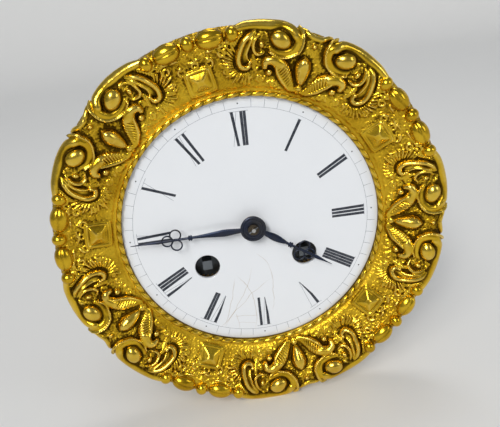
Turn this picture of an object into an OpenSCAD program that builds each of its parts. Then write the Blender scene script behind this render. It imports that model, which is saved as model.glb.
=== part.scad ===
// Round striking movement of a column clock, with its enamel dial and cast gilt bezel.
// The movement axis is level and the dial looks along -Y. The origin lies on that axis,
// in the plane where the bezel seats on the front of the case.

/* [Dial] */
// Radius of the enamel dial
dial_r = 50.8; // [50:0.2:52]
// Thickness of the enamel dial
dial_t = 1.6; // [1.2:0.1:2]
// Height of the dial's face above the case seat
dial_face = 4; // [3.6:0.1:5]
// Winding holes, sideways from the centre
hole_x = 19.3; // [19:0.1:20]
// Winding holes, below the centre
hole_y = 14.8; // [14.4:0.1:15.6]
// Radius of a winding hole
hole_r = 4.85; // [4:0.05:5.2]
// Width of a winding square across its flats
square_w = 3.7; // [3.2:0.1:4]

/* [Bezel] */
// Width of the ornament outside the mount ring
band_w = 16; // [15:0.5:20]
// Height of the bezel's rim above the dial's face
rim_rise = 6.4; // [5.4:0.1:8]
// Radius of the rope's section
rope_r = 0.95; // [0.8:0.05:1.2]
// Wall of the bezel casting
bezel_wall = 1.8; // [1.4:0.1:2.4]
// Times the ornament repeats round the bezel
repeats = 5; // [3:1:6]
// Radius of a rim bead
bead_r = 2.6; // [2:0.1:3]
// Side of a square jewel's frame
jewel_w = 10; // [8:0.5:11]
// Distance from the dial's edge to the bezel screws
screw_gap = 4.6; // [4:0.1:6]
// Width of the mount ring outside the bezel screws
screw_edge = 2.6; // [2.4:0.1:4]

/* [Hands] */
// Length of the minute hand
minute_hand_l = 46.5; // [42:0.5:48]
// Length of the hour hand
hour_hand_l = 35.5; // [32:0.5:37]
// Thickness of both hands
hand_t = 0.7; // [0.5:0.1:0.9]
// Clockwise angle of the minute hand from XII
minute_angle = 270; // [0:6:354]
// Clockwise angle of the hour hand from XII
hour_angle = 124.5; // [0:1.5:358.5]

/* [Frame] */
// Width of both plates outside the pallet arbor
plate_edge = 6.4; // [6:0.1:9]
// Thickness of both plates
plate_t = 2; // [1.6:0.1:2.4]
// Space between the plates
pillar_h = 36; // [35.5:0.5:40]
// Distance from the case seat back to the front plate
plate_drop = 5; // [5:0.1:6]
// Radius of a pillar
pillar_r = 2.8; // [2.2:0.1:3]
// Length of a case strap behind the mount ring
strap_l = 92; // [88:1:120]
// Core radius of the thread at a strap's end
strap_thread_r = 1.65; // [1.2:0.05:1.8]

/* [Wheelwork] */
// Radial running clearance of a pivot in its hole
run = 0.04; // [0.02:0.01:0.06]
// Thickness of a train wheel
wheel_t = 1.2; // [0.9:0.1:1.4]
// Radius of a train pivot
pivot_r = 0.45; // [0.35:0.05:0.55]
// Radius of a train arbor
arbor_r = 0.9; // [0.8:0.05:1]
// Outer radius of a barrel drum
drum_r = 15.6; // [14.6:0.1:16]
// Tooth size of the going intermediate wheel
going_size = 0.36; // [0.35:0.005:0.37]
// Tooth size of the centre wheel
centre_size = 0.3; // [0.29:0.005:0.305]
// Tooth size of the third wheel
third_size = 0.32; // [0.31:0.005:0.325]
// Radius of the escape wheel
escape_r = 9.3; // [9:0.1:9.5]
// Tooth size of the strike intermediate wheel
strike_size = 0.32; // [0.31:0.005:0.325]
// Tooth size of the pin wheel
pin_wheel_size = 0.27; // [0.265:0.005:0.275]
// Tooth size of the locking and warning wheels
fine_size = 0.24; // [0.235:0.005:0.245]
// Tooth size of the cannon pinion and minute wheel
cannon_size = 0.36; // [0.35:0.005:0.37]

/* [Striking] */
// Radius of the bell at its rim
bell_r = 37; // [34:0.5:38]
// Depth of the bell
bell_depth = 20; // [18:0.5:22]
// Wall of the bell
bell_wall = 1.8; // [1.4:0.1:2.2]
// Radius of the count wheel
count_r = 11.8; // [11:0.1:12]
// Gap that keeps a resting lever off the piece it works on
lever_gap = 0.5; // [0.4:0.05:0.6]

/* [Hidden] */
$fn = 64;

// Colours
gilt = "goldenrod";
brass = "darkkhaki";
steel = "lightsteelblue";
blued = "midnightblue";
enamel = "white";
copper = "peru";

// Height of each plane along the movement axis, towards the viewer
ring_t = dial_face - dial_t;
ring_back = 0.3;
rim_h = dial_face + rim_rise;
plate_face = -plate_drop;
inner_front = plate_face - plate_t;
inner_back = inner_front - pillar_h;
plate_back = inner_back - plate_t;
end_shake = 0.2;
hour_hand_z = dial_face + 2.4;
minute_hand_z = hour_hand_z + hand_t + 1.1;
cannon_top = minute_hand_z + hand_t + 0.1;
collet_top = cannon_top + 0.8;
work_z = plate_face + 0.3;
work_t = 1.4;

// A level between the plates, measured back from the front plate
function level(depth) = inner_front - depth;

// Points, bearings and meetings in the plane of the plates
function polar(r, a) = [r * cos(a), r * sin(a)];
function bearing(p, q) = atan2(q[1] - p[1], q[0] - p[0]);
function toward(p, q, d) = p + d * (q - p) / norm(q - p);
function meet(p, a, q, b) =
    let (d = norm(q - p), x = (a * a - b * b + d * d) / (2 * d), e = (q - p) / d)
    p + x * e + sqrt(a * a - x * x) * [-e[1], e[0]];

// Teeth: each point is a share of the pitch and a height in tooth sizes
tooth_tip = 1;
wheel_tooth = [[-0.29, -1.3], [-0.23, 0], [-0.07, tooth_tip], [0.07, tooth_tip], [0.23, 0], [0.29, -1.3]];
pinion_leaf = [[-0.17, -1.45], [-0.19, 0], [-0.09, 0.7], [0.09, 0.7], [0.19, 0], [0.17, -1.45]];
function toothed(teeth, size, tooth, phase) = [
    for (i = [0 : teeth - 1], point = tooth)
        polar(teeth * size / 2 + point[1] * size, phase + (i + point[0]) * 360 / teeth)
];
function centres(wheel, pinion, size) = (wheel + pinion) * size / 2;
function tip_r(teeth, size) = teeth * size / 2 + tooth_tip * size;

// Angle of a tooth on q, so that it meets a gap on p along the line between them
function mesh_phase(p, teeth_p, phase_p, q, teeth_q) =
    let (line = bearing(p, q))
    line + 180 + ((line - phase_p) * teeth_p / 360 - 0.5) * 360 / teeth_q;

// Tooth counts
great_teeth = 84;
intermediate_leaves = 12;
going_teeth = 72;
centre_leaves = 10;
centre_teeth = 84;
third_leaves = 7;
third_teeth = 70;
escape_leaves = 7;
escape_teeth = 30;
strike_teeth = 72;
pin_leaves = 8;
pin_teeth = 70;
strike_pins = 10;
locking_leaves = 7;
locking_teeth = 54;
warning_leaves = 6;
warning_teeth = 42;
fly_leaves = 6;
cannon_leaves = 14;
minute_teeth = 42;
minute_leaves = 12;
hour_teeth = 48;
ratchet_teeth = 24;

// The great wheels fill the space between the two winding holes
great_gap = 0.8;
great_size = (2 * hole_x - great_gap) / (great_teeth + 2 * tooth_tip);

// Places of the arbors in the plane of the plates
centre_at = [0, 0];
going_at = [hole_x, -hole_y];
strike_at = [-hole_x, -hole_y];
great_reach = centres(great_teeth, intermediate_leaves, great_size);
going_mid_at = meet(centre_at, centres(going_teeth, centre_leaves, going_size), going_at, great_reach);
third_at = [0, centres(centre_teeth, third_leaves, centre_size)];
escape_at = third_at + [0, centres(third_teeth, escape_leaves, third_size)];
pallet_sink = 0.55;
pallet_at = escape_at + [0, escape_r * sqrt(2) - pallet_sink];
plate_r = pallet_at[1] + plate_edge;
strike_mid_at = strike_at + polar(great_reach, 104.3);
pin_wheel_at = strike_mid_at + polar(centres(strike_teeth, pin_leaves, strike_size), 80);
locking_at = pin_wheel_at + polar(centres(pin_teeth, locking_leaves, pin_wheel_size), 52);
warning_at = locking_at + polar(centres(locking_teeth, warning_leaves, fine_size), 95);
fly_at = warning_at + polar(centres(warning_teeth, fly_leaves, fine_size), 10);
minute_at = polar(centres(minute_teeth, cannon_leaves, cannon_size), 150);
minute_size = 2 * norm(minute_at) / (minute_leaves + hour_teeth);
hammer_at = [-37, 10.5];
detent_at = [-29.5, 28];
lifting_at = [-30, 12];

// Tooth phases, each following the one before
going_mid_phase = mesh_phase(going_at, great_teeth, 0, going_mid_at, intermediate_leaves);
centre_phase = mesh_phase(going_mid_at, going_teeth, going_mid_phase, centre_at, centre_leaves);
third_phase = mesh_phase(centre_at, centre_teeth, centre_phase, third_at, third_leaves);
escape_phase = mesh_phase(third_at, third_teeth, third_phase, escape_at, escape_leaves);
strike_mid_phase = mesh_phase(strike_at, great_teeth, 0, strike_mid_at, intermediate_leaves);
pin_phase = mesh_phase(strike_mid_at, strike_teeth, strike_mid_phase, pin_wheel_at, pin_leaves);
locking_phase = mesh_phase(pin_wheel_at, pin_teeth, pin_phase, locking_at, locking_leaves);
warning_phase = mesh_phase(locking_at, locking_teeth, locking_phase, warning_at, warning_leaves);
fly_phase = mesh_phase(warning_at, warning_teeth, warning_phase, fly_at, fly_leaves);
minute_phase = mesh_phase(centre_at, cannon_leaves, 0, minute_at, minute_teeth);
hour_phase = mesh_phase(minute_at, minute_leaves, minute_phase, centre_at, hour_teeth);

// Depths of the wheels behind the front plate
great_depth = 3;
great_t = 2;
drum_depth = 24;
middle_depth = 27;
centre_depth = 31;
upper_depth = 19.6;
locking_depth = 9.6;
warning_depth = 4;
escape_depth = 28.6;
leaf_over = 1.6;
// How far a riveted piece goes into what carries it
seat = 0.2;

// Barrel inside
drum_wall = 1.4;
cap_t = 1.4;
core_r = 3.2;
front_pivot_r = square_w / sqrt(2) + 0.04;
cap_pivot_r = 1.6;
back_pivot_r = 1.2;

// Centre of the dial
centre_front_r = 1.3;
centre_top_r = 0.75;
cannon_r = 1.9;
hour_tube_r = 2.7;

// Fastenings
pin_r = 0.4;
post_r = 2.5;
tenon_r = 1.2;
post_at = plate_r - 3;
foot_at = plate_r - 9;
foot_r = 1;
pin_depth = 1.2;
tail_depth = 2.2;
post_angles = [55, 125, 225, 315];
bezel_screw_angles = [45, 135, 225, 315];
foot_angles = [60, 180, 300];
pillar_angles = [30, 150, 250, 290];
pillar_at = plate_r - 4;
screw_r = 1;
screw_head_r = 2;
screw_head_t = 1;
strap_gap = 5.5;
strap_foot = 3.5;
strap_x = plate_r + strap_gap;
ring_r = max(dial_r + screw_gap, strap_x + strap_foot) + screw_edge;
bezel_screw_at = ring_r - screw_edge;
strap_w = 8;
strap_t = 2;
lug_l = 6;

// Behind the back plate
cock_w = 26;
cock_h = 7;
cock_t = 2;
cock_lift = 5;
crutch_z = plate_back - 2.5;
bridge_z = plate_back - cock_lift;
pendulum_z = bridge_z - cock_t - 5;
count_z = plate_back - 1.6;
count_t = 1.4;
bell_rim_z = plate_back - 19;
bell_sphere_r = (bell_r * bell_r + bell_depth * bell_depth) / (2 * bell_depth);
bell_y = -8;
bell_crown_z = bell_rim_z - bell_depth;
stand_at = [12, -30];
stand_r = 2.2;
stand_z = bell_rim_z - 6;
stud_r = 1.8;

// The design plane faces the viewer: x right, y up, z out of the dial
module facing() {
    rotate([90, 0, 0]) children();
}

module disc(r, low, high) {
    translate([0, 0, low]) cylinder(r = r, h = high - low);
}

module disc_at(p, r, low, high) {
    translate([p[0], p[1], low]) cylinder(r = r, h = high - low);
}

// A flat shape in the design plane, from one height to another
module slab(low, high) {
    translate([0, 0, low]) linear_extrude(high - low) children();
}

// A toothed wheel with crossings, its front at a height
module wheel(p, teeth, size, phase, front, thick, bore, arms = 5, rim_w = 0.5) {
    rim_r = teeth * size / 2 - 3.6 * size - rim_w;
    hub_r = bore + 1.5;
    arm_w = 1.1 + rim_r / 12;
    translate([p[0], p[1], front - thick]) difference() {
        linear_extrude(thick) polygon(toothed(teeth, size, wheel_tooth, phase));
        translate([0, 0, -1]) cylinder(r = bore, h = thick + 2);
        for (i = [0 : arms - 1]) rotate(phase + (i + 0.5) * 360 / arms)
            translate([0, 0, -1]) crossing(rim_r, hub_r, arm_w, 360 / arms, thick + 2);
    }
}

// One window between two arms of a wheel
module crossing(rim_r, hub_r, arm_w, sector, high) {
    half = arm_w / 2;
    inner = asin(half / hub_r);
    outer = asin(half / rim_r);
    bend = [for (i = [0 : 6]) polar(rim_r, -sector / 2 + outer + i * (sector - 2 * outer) / 6)];
    hub = [for (i = [2 : -1 : 0]) polar(hub_r, -sector / 2 + inner + i * (sector - 2 * inner) / 2)];
    linear_extrude(high) polygon(concat(bend, hub));
}

// Leaves cut on an arbor
module leaves(p, count, size, phase, high, low) {
    translate([p[0], p[1], low]) linear_extrude(high - low)
        polygon(toothed(count, size, pinion_leaf, phase));
}

// A train arbor with a pivot at each end, its leaves between two depths
module staff(p, count, size, phase, leaf_front, leaf_back, body_r, tail = 0) {
    leaf_high = level(leaf_front);
    leaf_low = level(leaf_back);
    shoulder = inner_front - end_shake;
    foot = inner_back + end_shake;
    disc_at(p, pivot_r, shoulder, plate_face);
    disc_at(p, body_r, leaf_high, shoulder);
    leaves(p, count, size, phase, leaf_high, leaf_low);
    disc_at(p, body_r, foot, leaf_low);
    disc_at(p, tail > 0 ? body_r : pivot_r, plate_back - tail, foot);
}

// A pin hole's row of places round the movement
module round_at(radius, angles) {
    for (a = angles) translate([radius * cos(a), radius * sin(a), 0]) rotate(a) children();
}

// A screw whose head lies on a surface and points back from it
module screw_back(p, surface, length) {
    disc_at(p, screw_head_r, surface - screw_head_t, surface);
    disc_at(p, screw_r, surface, surface + length);
}

// A screw whose head lies in front of a surface
module screw_front(p, surface, length) {
    disc_at(p, screw_head_r, surface, surface + screw_head_t);
    disc_at(p, screw_r, surface - length, surface);
}

// Bezel: section of the casting, from the rim to the rope
bezel_r = ring_r + band_w;
seat_r = dial_r + 0.3;
lip_r = dial_r - 1.4;
field_r = lip_r + 2 * rope_r + 0.6;
inner_solid_r = ring_r + 1.6;
shelf_r = ring_r + band_w * 0.4;
crest_r = ring_r + band_w * 0.68;
rim_r = ring_r + band_w * 0.85;
field_h = dial_face + 1.3;
ring_face_h = dial_face + 2.6;
shelf_h = dial_face + 4.4;
crest_h = rim_h - 0.3;
seat_h = dial_face + 0.05;
face_table = [
    [field_r, field_h], [ring_r, ring_face_h], [shelf_r, shelf_h], [crest_r, crest_h], [rim_r, rim_h]
];
function face_z(r) = lookup(r, face_table);
rope_z = field_h + 0.2;
face_tilt = 13;
foot_in = 1.4;
belly_h = rim_h * 0.62;

module bezel_section() {
    wall = bezel_wall;
    polygon([
        [bezel_r - foot_in, 0], [bezel_r - 0.4, rim_h * 0.3], [bezel_r, belly_h], [bezel_r - 0.7, rim_h - 1.4],
        [rim_r, rim_h], [crest_r, crest_h], [shelf_r, shelf_h], [ring_r, ring_face_h], [field_r, field_h],
        [lip_r + rope_r, field_h], [lip_r, rope_z], [lip_r, seat_h], [seat_r, seat_h], [seat_r, ring_t],
        [inner_solid_r, ring_t], [inner_solid_r, ring_face_h - wall], [shelf_r, shelf_h - wall],
        [crest_r, crest_h - wall], [bezel_r - 2.4 - wall, rim_h - 1.2 - wall],
        [bezel_r - 1.2 - wall, belly_h - 0.4], [bezel_r - foot_in - wall - 0.2, 0]
    ]);
}

// Places an ornament on the bezel, at a clockwise angle and a radius
module on_bezel(angle, r, lift = 0) {
    rotate(-angle) translate([0, r, face_z(r) + lift]) children();
}

// The same for an ornament that lies flat on the sloping face
module on_slope(angle, r, lift = 0) {
    on_bezel(angle, r, lift) rotate([face_tilt, 0, 0]) children();
}

module bead(r) {
    sphere(r = r);
}

// A spindle-shaped olive along the rim
module olive(length, thick) {
    arc_r = (length * length / 4 + thick * thick / 4) / thick;
    rotate([0, 90, 0]) rotate_extrude() intersection() {
        translate([thick / 2 - arc_r, 0]) circle(r = arc_r, $fn = 96);
        translate([0, -length / 2]) square([thick, length]);
    }
}

// A round bar bent along an arc, counterclockwise from an angle
module arc(centre, bend_r, thick, from, sweep) {
    translate([centre[0], centre[1], 0]) rotate(from)
        rotate_extrude(angle = sweep) translate([bend_r, 0]) circle(r = thick);
}

// A rim volute: one turn of a round bar about a ball
module rim_volute() {
    arc([0, 0], 4.1, 1.5, 95, 285);
    sphere(r = 2.6);
}

// A wing of the cartouche: a leaf from the root, with a small volute at its tip
module wing() {
    leaf_l = 12.4;
    leaf_w = 4.2;
    leaf_line = 38;
    translate([-5.6, -4.2, 0.2]) rotate(leaf_line) olive(leaf_l, leaf_w);
    arc([0, 0], 2.5, 1.05, -150, 290);
    sphere(r = 1.4);
}

// A comma: an edge that bends round a hollow and closes on a ball
module comma() {
    arc([-11.4, 0], 11.4, 1.1, -8, 60);
    arc([-2.6, -1.4], 2.4, 1, 160, 190);
    translate([-2.5, -0.8, 0]) sphere(r = 1.5);
}

// A square jewel: three stepped frames under a raised table
module jewel() {
    frame_step = 1.15;
    frame_rise = 0.65;
    depth = 2;
    for (i = [0 : 3]) {
        w = jewel_w - 2 * i * frame_step;
        translate([-w / 2, -w / 2, -depth]) cube([w, w, depth + 0.5 + i * frame_rise]);
    }
}

// One repeat of the ornament, its cartouche pointing up
bead_at = bezel_r - 2.4;
olive_l = 9.2;
olive_w = 6.3;
pear_at = ring_r + 5;
root_at = ring_r - 3.8;
jewel_at = ring_r - 0.3;
module bezel_repeat() {
    for (side = [-1, 1]) {
        mirror([side < 0 ? 1 : 0, 0, 0]) {
            on_bezel(23.5, bead_at) bead(bead_r);
            on_bezel(29.6, bead_at - 0.3) olive(olive_l, olive_w);
            on_slope(9, bezel_r - 4.8, 0.4) rim_volute();
            rotate(90 - 21.5) rotate_extrude(angle = 12.5)
                translate([bezel_r - 1.6, rim_h - 0.5]) circle(r = 1.3);
            on_slope(24.4, ring_r + 3, 0.3) comma();
            on_slope(11.6, ring_r + 1.3, 0.2) wing();
            on_bezel(3, bezel_r - 3.4, -0.6) rotate([-90, 0, -8]) cylinder(r1 = 0.9, r2 = 1.5, h = 3.6);
        }
    }
    on_bezel(36, bead_at) bead(bead_r);
    on_bezel(0, pear_at, 0.2) bead(3);
    on_slope(0, pear_at, 0.2) rotate([90, 0, 0]) cylinder(r1 = 2.9, r2 = 1.2, h = 7.5);
    on_bezel(0, root_at, 0.2) bead(1.4);
    on_bezel(0, bezel_r - 3.7, 0.2) bead(1);
    on_slope(36, jewel_at) jewel();
}

module bezel_casting() {
    color(gilt) facing() {
        difference() {
            union() {
                rotate_extrude($fn = 180) bezel_section();
                rotate_extrude($fn = 180) translate([lip_r + rope_r, rope_z]) circle(r = rope_r);
                for (i = [0 : repeats - 1]) rotate(-24 - i * 360 / repeats) bezel_repeat();
            }
            round_at(bezel_screw_at, bezel_screw_angles) disc(screw_r, ring_t - 1, ring_t + 1.8);
        }
    }
}

module mount_ring() {
    color(brass) facing() difference() {
        disc(ring_r, ring_back, ring_t);
        disc(plate_r - 5.5, -1, ring_t + 1);
        round_at(post_at, post_angles) disc(tenon_r, -1, ring_t + 1);
        round_at(bezel_screw_at, bezel_screw_angles) disc(screw_r, -1, ring_t + 1);
        for (side = [-1, 1]) disc_at([side * (strap_x + strap_foot), 0], screw_r, -1, ring_t + 1);
    }
}

module bezel_screws() {
    bite = 1.6;
    color(steel) facing() round_at(bezel_screw_at, bezel_screw_angles)
        screw_back([0, 0], ring_back, ring_t - ring_back + bite);
}

module ring_posts() {
    color(brass) facing() round_at(post_at, post_angles) difference() {
        union() {
            disc(post_r, plate_face, ring_back);
            disc(tenon_r, ring_back, ring_t);
            disc(tenon_r, inner_front - tail_depth, plate_face);
        }
        cross_pin_hole(pin_r);
    }
}

// The hole of a cross pin, just behind the front plate
module cross_pin_hole(r) {
    translate([0, 0, inner_front - pin_depth]) rotate([90, 0, 0])
        cylinder(r = r, h = 8, center = true, $fn = 24);
}

module cross_pin(r, length) {
    translate([0, 0, inner_front - pin_depth]) rotate([90, 0, 0])
        cylinder(r = r, h = length, center = true, $fn = 24);
}

module dial() {
    color(enamel) facing() difference() {
        disc(dial_r, ring_t, dial_face, $fn = 180);
        disc(hour_tube_r + 0.7, ring_t - 1, dial_face + 1);
        for (p = [going_at, strike_at]) disc_at(p, hole_r, ring_t - 1, dial_face + 1);
    }
}

module dial_feet() {
    color(copper) facing() round_at(foot_at, foot_angles) difference() {
        disc(foot_r, inner_front - tail_depth, ring_t);
        cross_pin_hole(pin_r);
    }
}

module frame_pins() {
    color(steel) facing() {
        round_at(post_at, post_angles) cross_pin(pin_r, 5);
        round_at(foot_at, foot_angles) cross_pin(pin_r, 4.4);
        round_at(pillar_at, pillar_angles)
            translate([0, 0, plate_back - pin_depth]) rotate([90, 0, 0])
                cylinder(r = pin_r, h = 5.4, center = true, $fn = 24);
    }
}

// Holes that both plates share for the train
train_places = [going_mid_at, third_at, escape_at, strike_mid_at, pin_wheel_at, locking_at, warning_at, fly_at];

module plate_blank(low, high) {
    difference() {
        disc(plate_r, low, high);
        children();
    }
}

module front_plate() {
    low = inner_front - 1;
    high = plate_face + 1;
    color(brass) facing() plate_blank(inner_front, plate_face) {
        for (p = train_places) disc_at(p, pivot_r + run, low, high);
        disc_at(pallet_at, pivot_r + run, low, high);
        disc_at(centre_at, centre_front_r + run, low, high);
        for (p = [going_at, strike_at]) disc_at(p, front_pivot_r + run, low, high);
        for (p = [hammer_at, detent_at]) disc_at(p, pivot_r + run, low, high);
        for (p = [lifting_at, minute_at]) disc_at(p, screw_r, low, high);
        for (side = [0, 1]) mirror([side, 0, 0]) {
            disc_at(click_at, screw_r, low, high);
            disc_at(spring_at, screw_r, low, high);
        }
        round_at(post_at, post_angles) disc(tenon_r, low, high);
        round_at(foot_at, foot_angles) disc(foot_r, low, high);
        round_at(pillar_at, pillar_angles) disc(tenon_r, low, high);
    }
}

module back_plate() {
    low = plate_back - 1;
    high = inner_back + 1;
    color(brass) facing() plate_blank(plate_back, inner_back) {
        for (p = train_places) if (p != strike_mid_at) disc_at(p, pivot_r + run, low, high);
        disc_at(strike_mid_at, arbor_r + run, low, high);
        disc_at(centre_at, pivot_r + run, low, high);
        for (p = [going_at, strike_at]) disc_at(p, back_pivot_r + run, low, high);
        for (p = [hammer_at, detent_at]) disc_at(p, arbor_r + run, low, high);
        disc_at(pallet_at, 2.6, low, high);
        disc_at(stand_at, screw_r, low, high);
        for (side = [-1, 1]) disc_at([side * cock_screw_x, pallet_at[1]], screw_r, low, high);
        round_at(pillar_at, pillar_angles) disc(tenon_r, low, high);
    }
}

module pillars() {
    color(brass) facing() round_at(pillar_at, pillar_angles) difference() {
        union() {
            disc(tenon_r, inner_front, plate_face);
            disc(pillar_r, inner_front - 3, inner_front);
            disc(pillar_r - 0.5, inner_back + 3, inner_front - 3);
            disc(pillar_r, inner_back, inner_back + 3);
            disc(tenon_r, plate_back - tail_depth, inner_back);
        }
        translate([0, 0, plate_back - pin_depth]) rotate([90, 0, 0])
            cylinder(r = pin_r, h = 8, center = true, $fn = 24);
    }
}

// Straps run back beside the movement and end in a threaded lug
module case_straps() {
    color(brass) facing() for (side = [0, 1]) mirror([side, 0, 0]) difference() {
        union() {
            translate([strap_x - strap_t / 2, -strap_w / 2, -strap_l])
                cube([strap_t, strap_w, strap_l + ring_back]);
            translate([strap_x - strap_t / 2, -strap_w / 2, ring_back - strap_t])
                cube([strap_t + 6, strap_w, strap_t]);
            translate([strap_x + strap_t / 2 - lug_l - strap_t, -strap_w / 2, -strap_l])
                cube([lug_l + strap_t, strap_w, 4]);
        }
        disc_at([strap_x + strap_foot, 0], screw_r, -strap_t - 1, 1);
        disc_at([strap_x - strap_foot, 0], strap_thread_r, -strap_l - 1, -strap_l + 5);
    }
}

module strap_screws() {
    color(steel) facing() for (side = [-1, 1])
        screw_back([side * (strap_x + strap_foot), 0], ring_back - strap_t, strap_t + ring_t - ring_back - 0.4);
}

// Centre of the movement
module centre_arbor() {
    leaf_high = level(middle_depth - leaf_over);
    leaf_low = level(middle_depth + wheel_t + leaf_over);
    shoulder = inner_front - end_shake;
    foot = inner_back + end_shake;
    color(steel) facing() {
        difference() {
            disc(centre_top_r, cannon_top, collet_top + 0.9);
            translate([0, 0, collet_top + hand_pin_r]) rotate([0, 90, 30])
                cylinder(r = hand_pin_r, h = 4, center = true, $fn = 24);
        }
        disc(centre_front_r, shoulder, cannon_top);
        disc(centre_front_r, leaf_high, shoulder);
        leaves(centre_at, centre_leaves, going_size, centre_phase, leaf_high, leaf_low);
        disc(arbor_r, foot, leaf_low);
        disc(pivot_r, plate_back, foot);
    }
}

module centre_wheel() {
    color(brass) facing()
        wheel(centre_at, centre_teeth, centre_size, centre_phase, level(centre_depth), wheel_t, arbor_r);
}

module cannon_pinion() {
    color(steel) facing() difference() {
        union() {
            leaves(centre_at, cannon_leaves, cannon_size, 0, work_z + 2.1, work_z - 0.1);
            disc(cannon_r, work_z + 2.1, cannon_top);
        }
        disc(centre_front_r, work_z - 1, cannon_top + 1);
    }
}

// A hand that points up: hub, blade, collar, trefoil and needle
belly_w = 2.7;
neck_w = 1.1;
hub_sink = 0.4;
collar_w = 2.4;
collar_l = 0.8;
leaf_outer = 2.3;
leaf_inner = 1.75;
leaf_side = 2;
leaf_drop = 0.6;
leaf_rise = 2.6;
module hand(length, hub_r, bore, belly, needle, collar_gap) {
    trefoil = length - needle;
    collar = trefoil - collar_gap;
    root = hub_r - hub_sink;
    slab(0, hand_t) difference() {
        circle(r = hub_r);
        circle(r = bore);
    }
    slab(0, hand_t) polygon([
        [-1, root], [-belly_w / 2, belly], [-neck_w / 2, collar], [-neck_w / 2, trefoil + 1.4],
        [neck_w / 2, trefoil + 1.4], [neck_w / 2, collar], [belly_w / 2, belly], [1, root]
    ]);
    translate([-collar_w / 2, collar - collar_l / 2, 0]) cube([collar_w, collar_l, hand_t]);
    for (p = [[-leaf_side, trefoil - leaf_drop], [leaf_side, trefoil - leaf_drop], [0, trefoil + leaf_rise]])
        translate(p) slab(0, hand_t) difference() {
            circle(r = leaf_outer, $fn = 40);
            circle(r = leaf_inner, $fn = 40);
        }
    slab(0, hand_t) polygon([
        [-0.7, trefoil + 1.2], [-0.5, trefoil + 5.5], [0, length], [0.5, trefoil + 5.5], [0.7, trefoil + 1.2]
    ]);
}

minute_hub_r = 4.95;
minute_belly = 11;
minute_needle = 16.5;
minute_collar_gap = 6;
hour_hub_r = 4.5;
hour_belly = 10;
hour_needle = 13.1;
hour_collar_gap = 5.7;
module minute_hand() {
    color(blued) facing() translate([0, 0, minute_hand_z]) rotate(-minute_angle)
        hand(minute_hand_l, minute_hub_r, cannon_r, minute_belly, minute_needle, minute_collar_gap);
}

module hour_hand() {
    color(blued) facing() translate([0, 0, hour_hand_z]) rotate(-hour_angle)
        hand(hour_hand_l, hour_hub_r, hour_tube_r, hour_belly, hour_needle, hour_collar_gap);
}

module hand_collet() {
    color(brass) facing() difference() {
        disc(2.1, cannon_top, collet_top);
        disc(centre_top_r, cannon_top - 1, collet_top + 1);
    }
}

hand_pin_r = 0.3;
module hand_pin() {
    color(steel) facing() translate([0, 0, collet_top + hand_pin_r]) rotate([0, 90, 30])
        cylinder(r = hand_pin_r, h = 4, center = true, $fn = 24);
}

// Hour wheel on its tube, turning on the cannon pinion
module hour_wheel() {
    front = work_z + 3.6;
    color(brass) facing() {
        difference() {
            wheel(centre_at, hour_teeth, minute_size, hour_phase, front, wheel_t, cannon_r + run, 4);
        }
        difference() {
            disc(hour_tube_r, front, hour_hand_z + hand_t + 0.2);
            disc(cannon_r + run, front - 1, hour_hand_z + hand_t + 1);
        }
    }
}

module minute_wheel() {
    front = work_z + 1.5;
    color(brass) facing() {
        wheel(minute_at, minute_teeth, cannon_size, minute_phase, front, wheel_t, screw_r + run, 4);
        difference() {
            leaves(minute_at, minute_leaves, minute_size, minute_phase, front + 3, front);
            disc_at(minute_at, screw_r + run, front - 1, front + 4);
        }
    }
}

minute_stud_l = 5.2;
module minute_wheel_stud() {
    color(steel) facing() {
        disc_at(minute_at, screw_r, inner_front, work_z + minute_stud_l);
    }
}

// Barrel with its great wheel, open at the back for the cap
module barrel(p) {
    front = level(great_depth);
    back = level(drum_depth);
    difference() {
        union() {
            translate([p[0], p[1], front - great_t]) linear_extrude(great_t)
                polygon(toothed(great_teeth, great_size, wheel_tooth, 0));
            disc_at(p, drum_r, back, front - great_t);
        }
        disc_at(p, drum_r - drum_wall, back - 1, front - great_t);
        disc_at(p, front_pivot_r + run, front - great_t - 1, front + 1);
    }
}

module barrel_cap(p) {
    back = level(drum_depth);
    difference() {
        disc_at(p, drum_r - drum_wall, back, back + cap_t);
        disc_at(p, cap_pivot_r + run, back - 1, back + cap_t + 1);
    }
}

// A spring coiled from the arbor out to the drum
module mainspring(p) {
    turns = 7;
    steps = 18;
    strip = 0.5;
    inner = core_r + 0.5;
    outer = drum_r - drum_wall - 0.2 - strip;
    count = turns * steps;
    coil = [for (i = [0 : count]) polar(inner + (outer - inner) * i / count, i * 360 / steps)];
    coil_back = [for (i = [count : -1 : 0])
        polar(inner + strip + (outer - inner) * i / count, i * 360 / steps)];
    translate([p[0], p[1], 0]) slab(level(drum_depth - cap_t - 0.6), level(great_depth + great_t + 0.6))
        polygon(concat(coil, coil_back));
}

module winding_arbor(p) {
    square_end = dial_face - 1.6;
    core_front = level(great_depth + great_t + 0.4);
    core_back = level(drum_depth - cap_t - 0.4);
    foot = inner_back + end_shake;
    translate([p[0] - square_w / 2, p[1] - square_w / 2, plate_face])
        cube([square_w, square_w, square_end - plate_face]);
    disc_at(p, front_pivot_r, core_front, plate_face);
    disc_at(p, core_r, core_back, core_front);
    disc_at(p, cap_pivot_r, foot, core_back);
    disc_at(p, back_pivot_r, plate_back, foot);
}

ratchet_r = 7.4;
ratchet_depth = 0.9;
module ratchet(p) {
    step = 360 / ratchet_teeth;
    outline = [for (i = [0 : ratchet_teeth - 1], point = [[0, 0], [0.12, ratchet_depth]])
        polar(ratchet_r - point[1], (i + point[0]) * step)];
    translate([p[0], p[1], 0]) difference() {
        slab(work_z, work_z + work_t) polygon(outline);
        translate([-square_w / 2, -square_w / 2, work_z - 1]) cube([square_w, square_w, work_t + 2]);
    }
}

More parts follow.
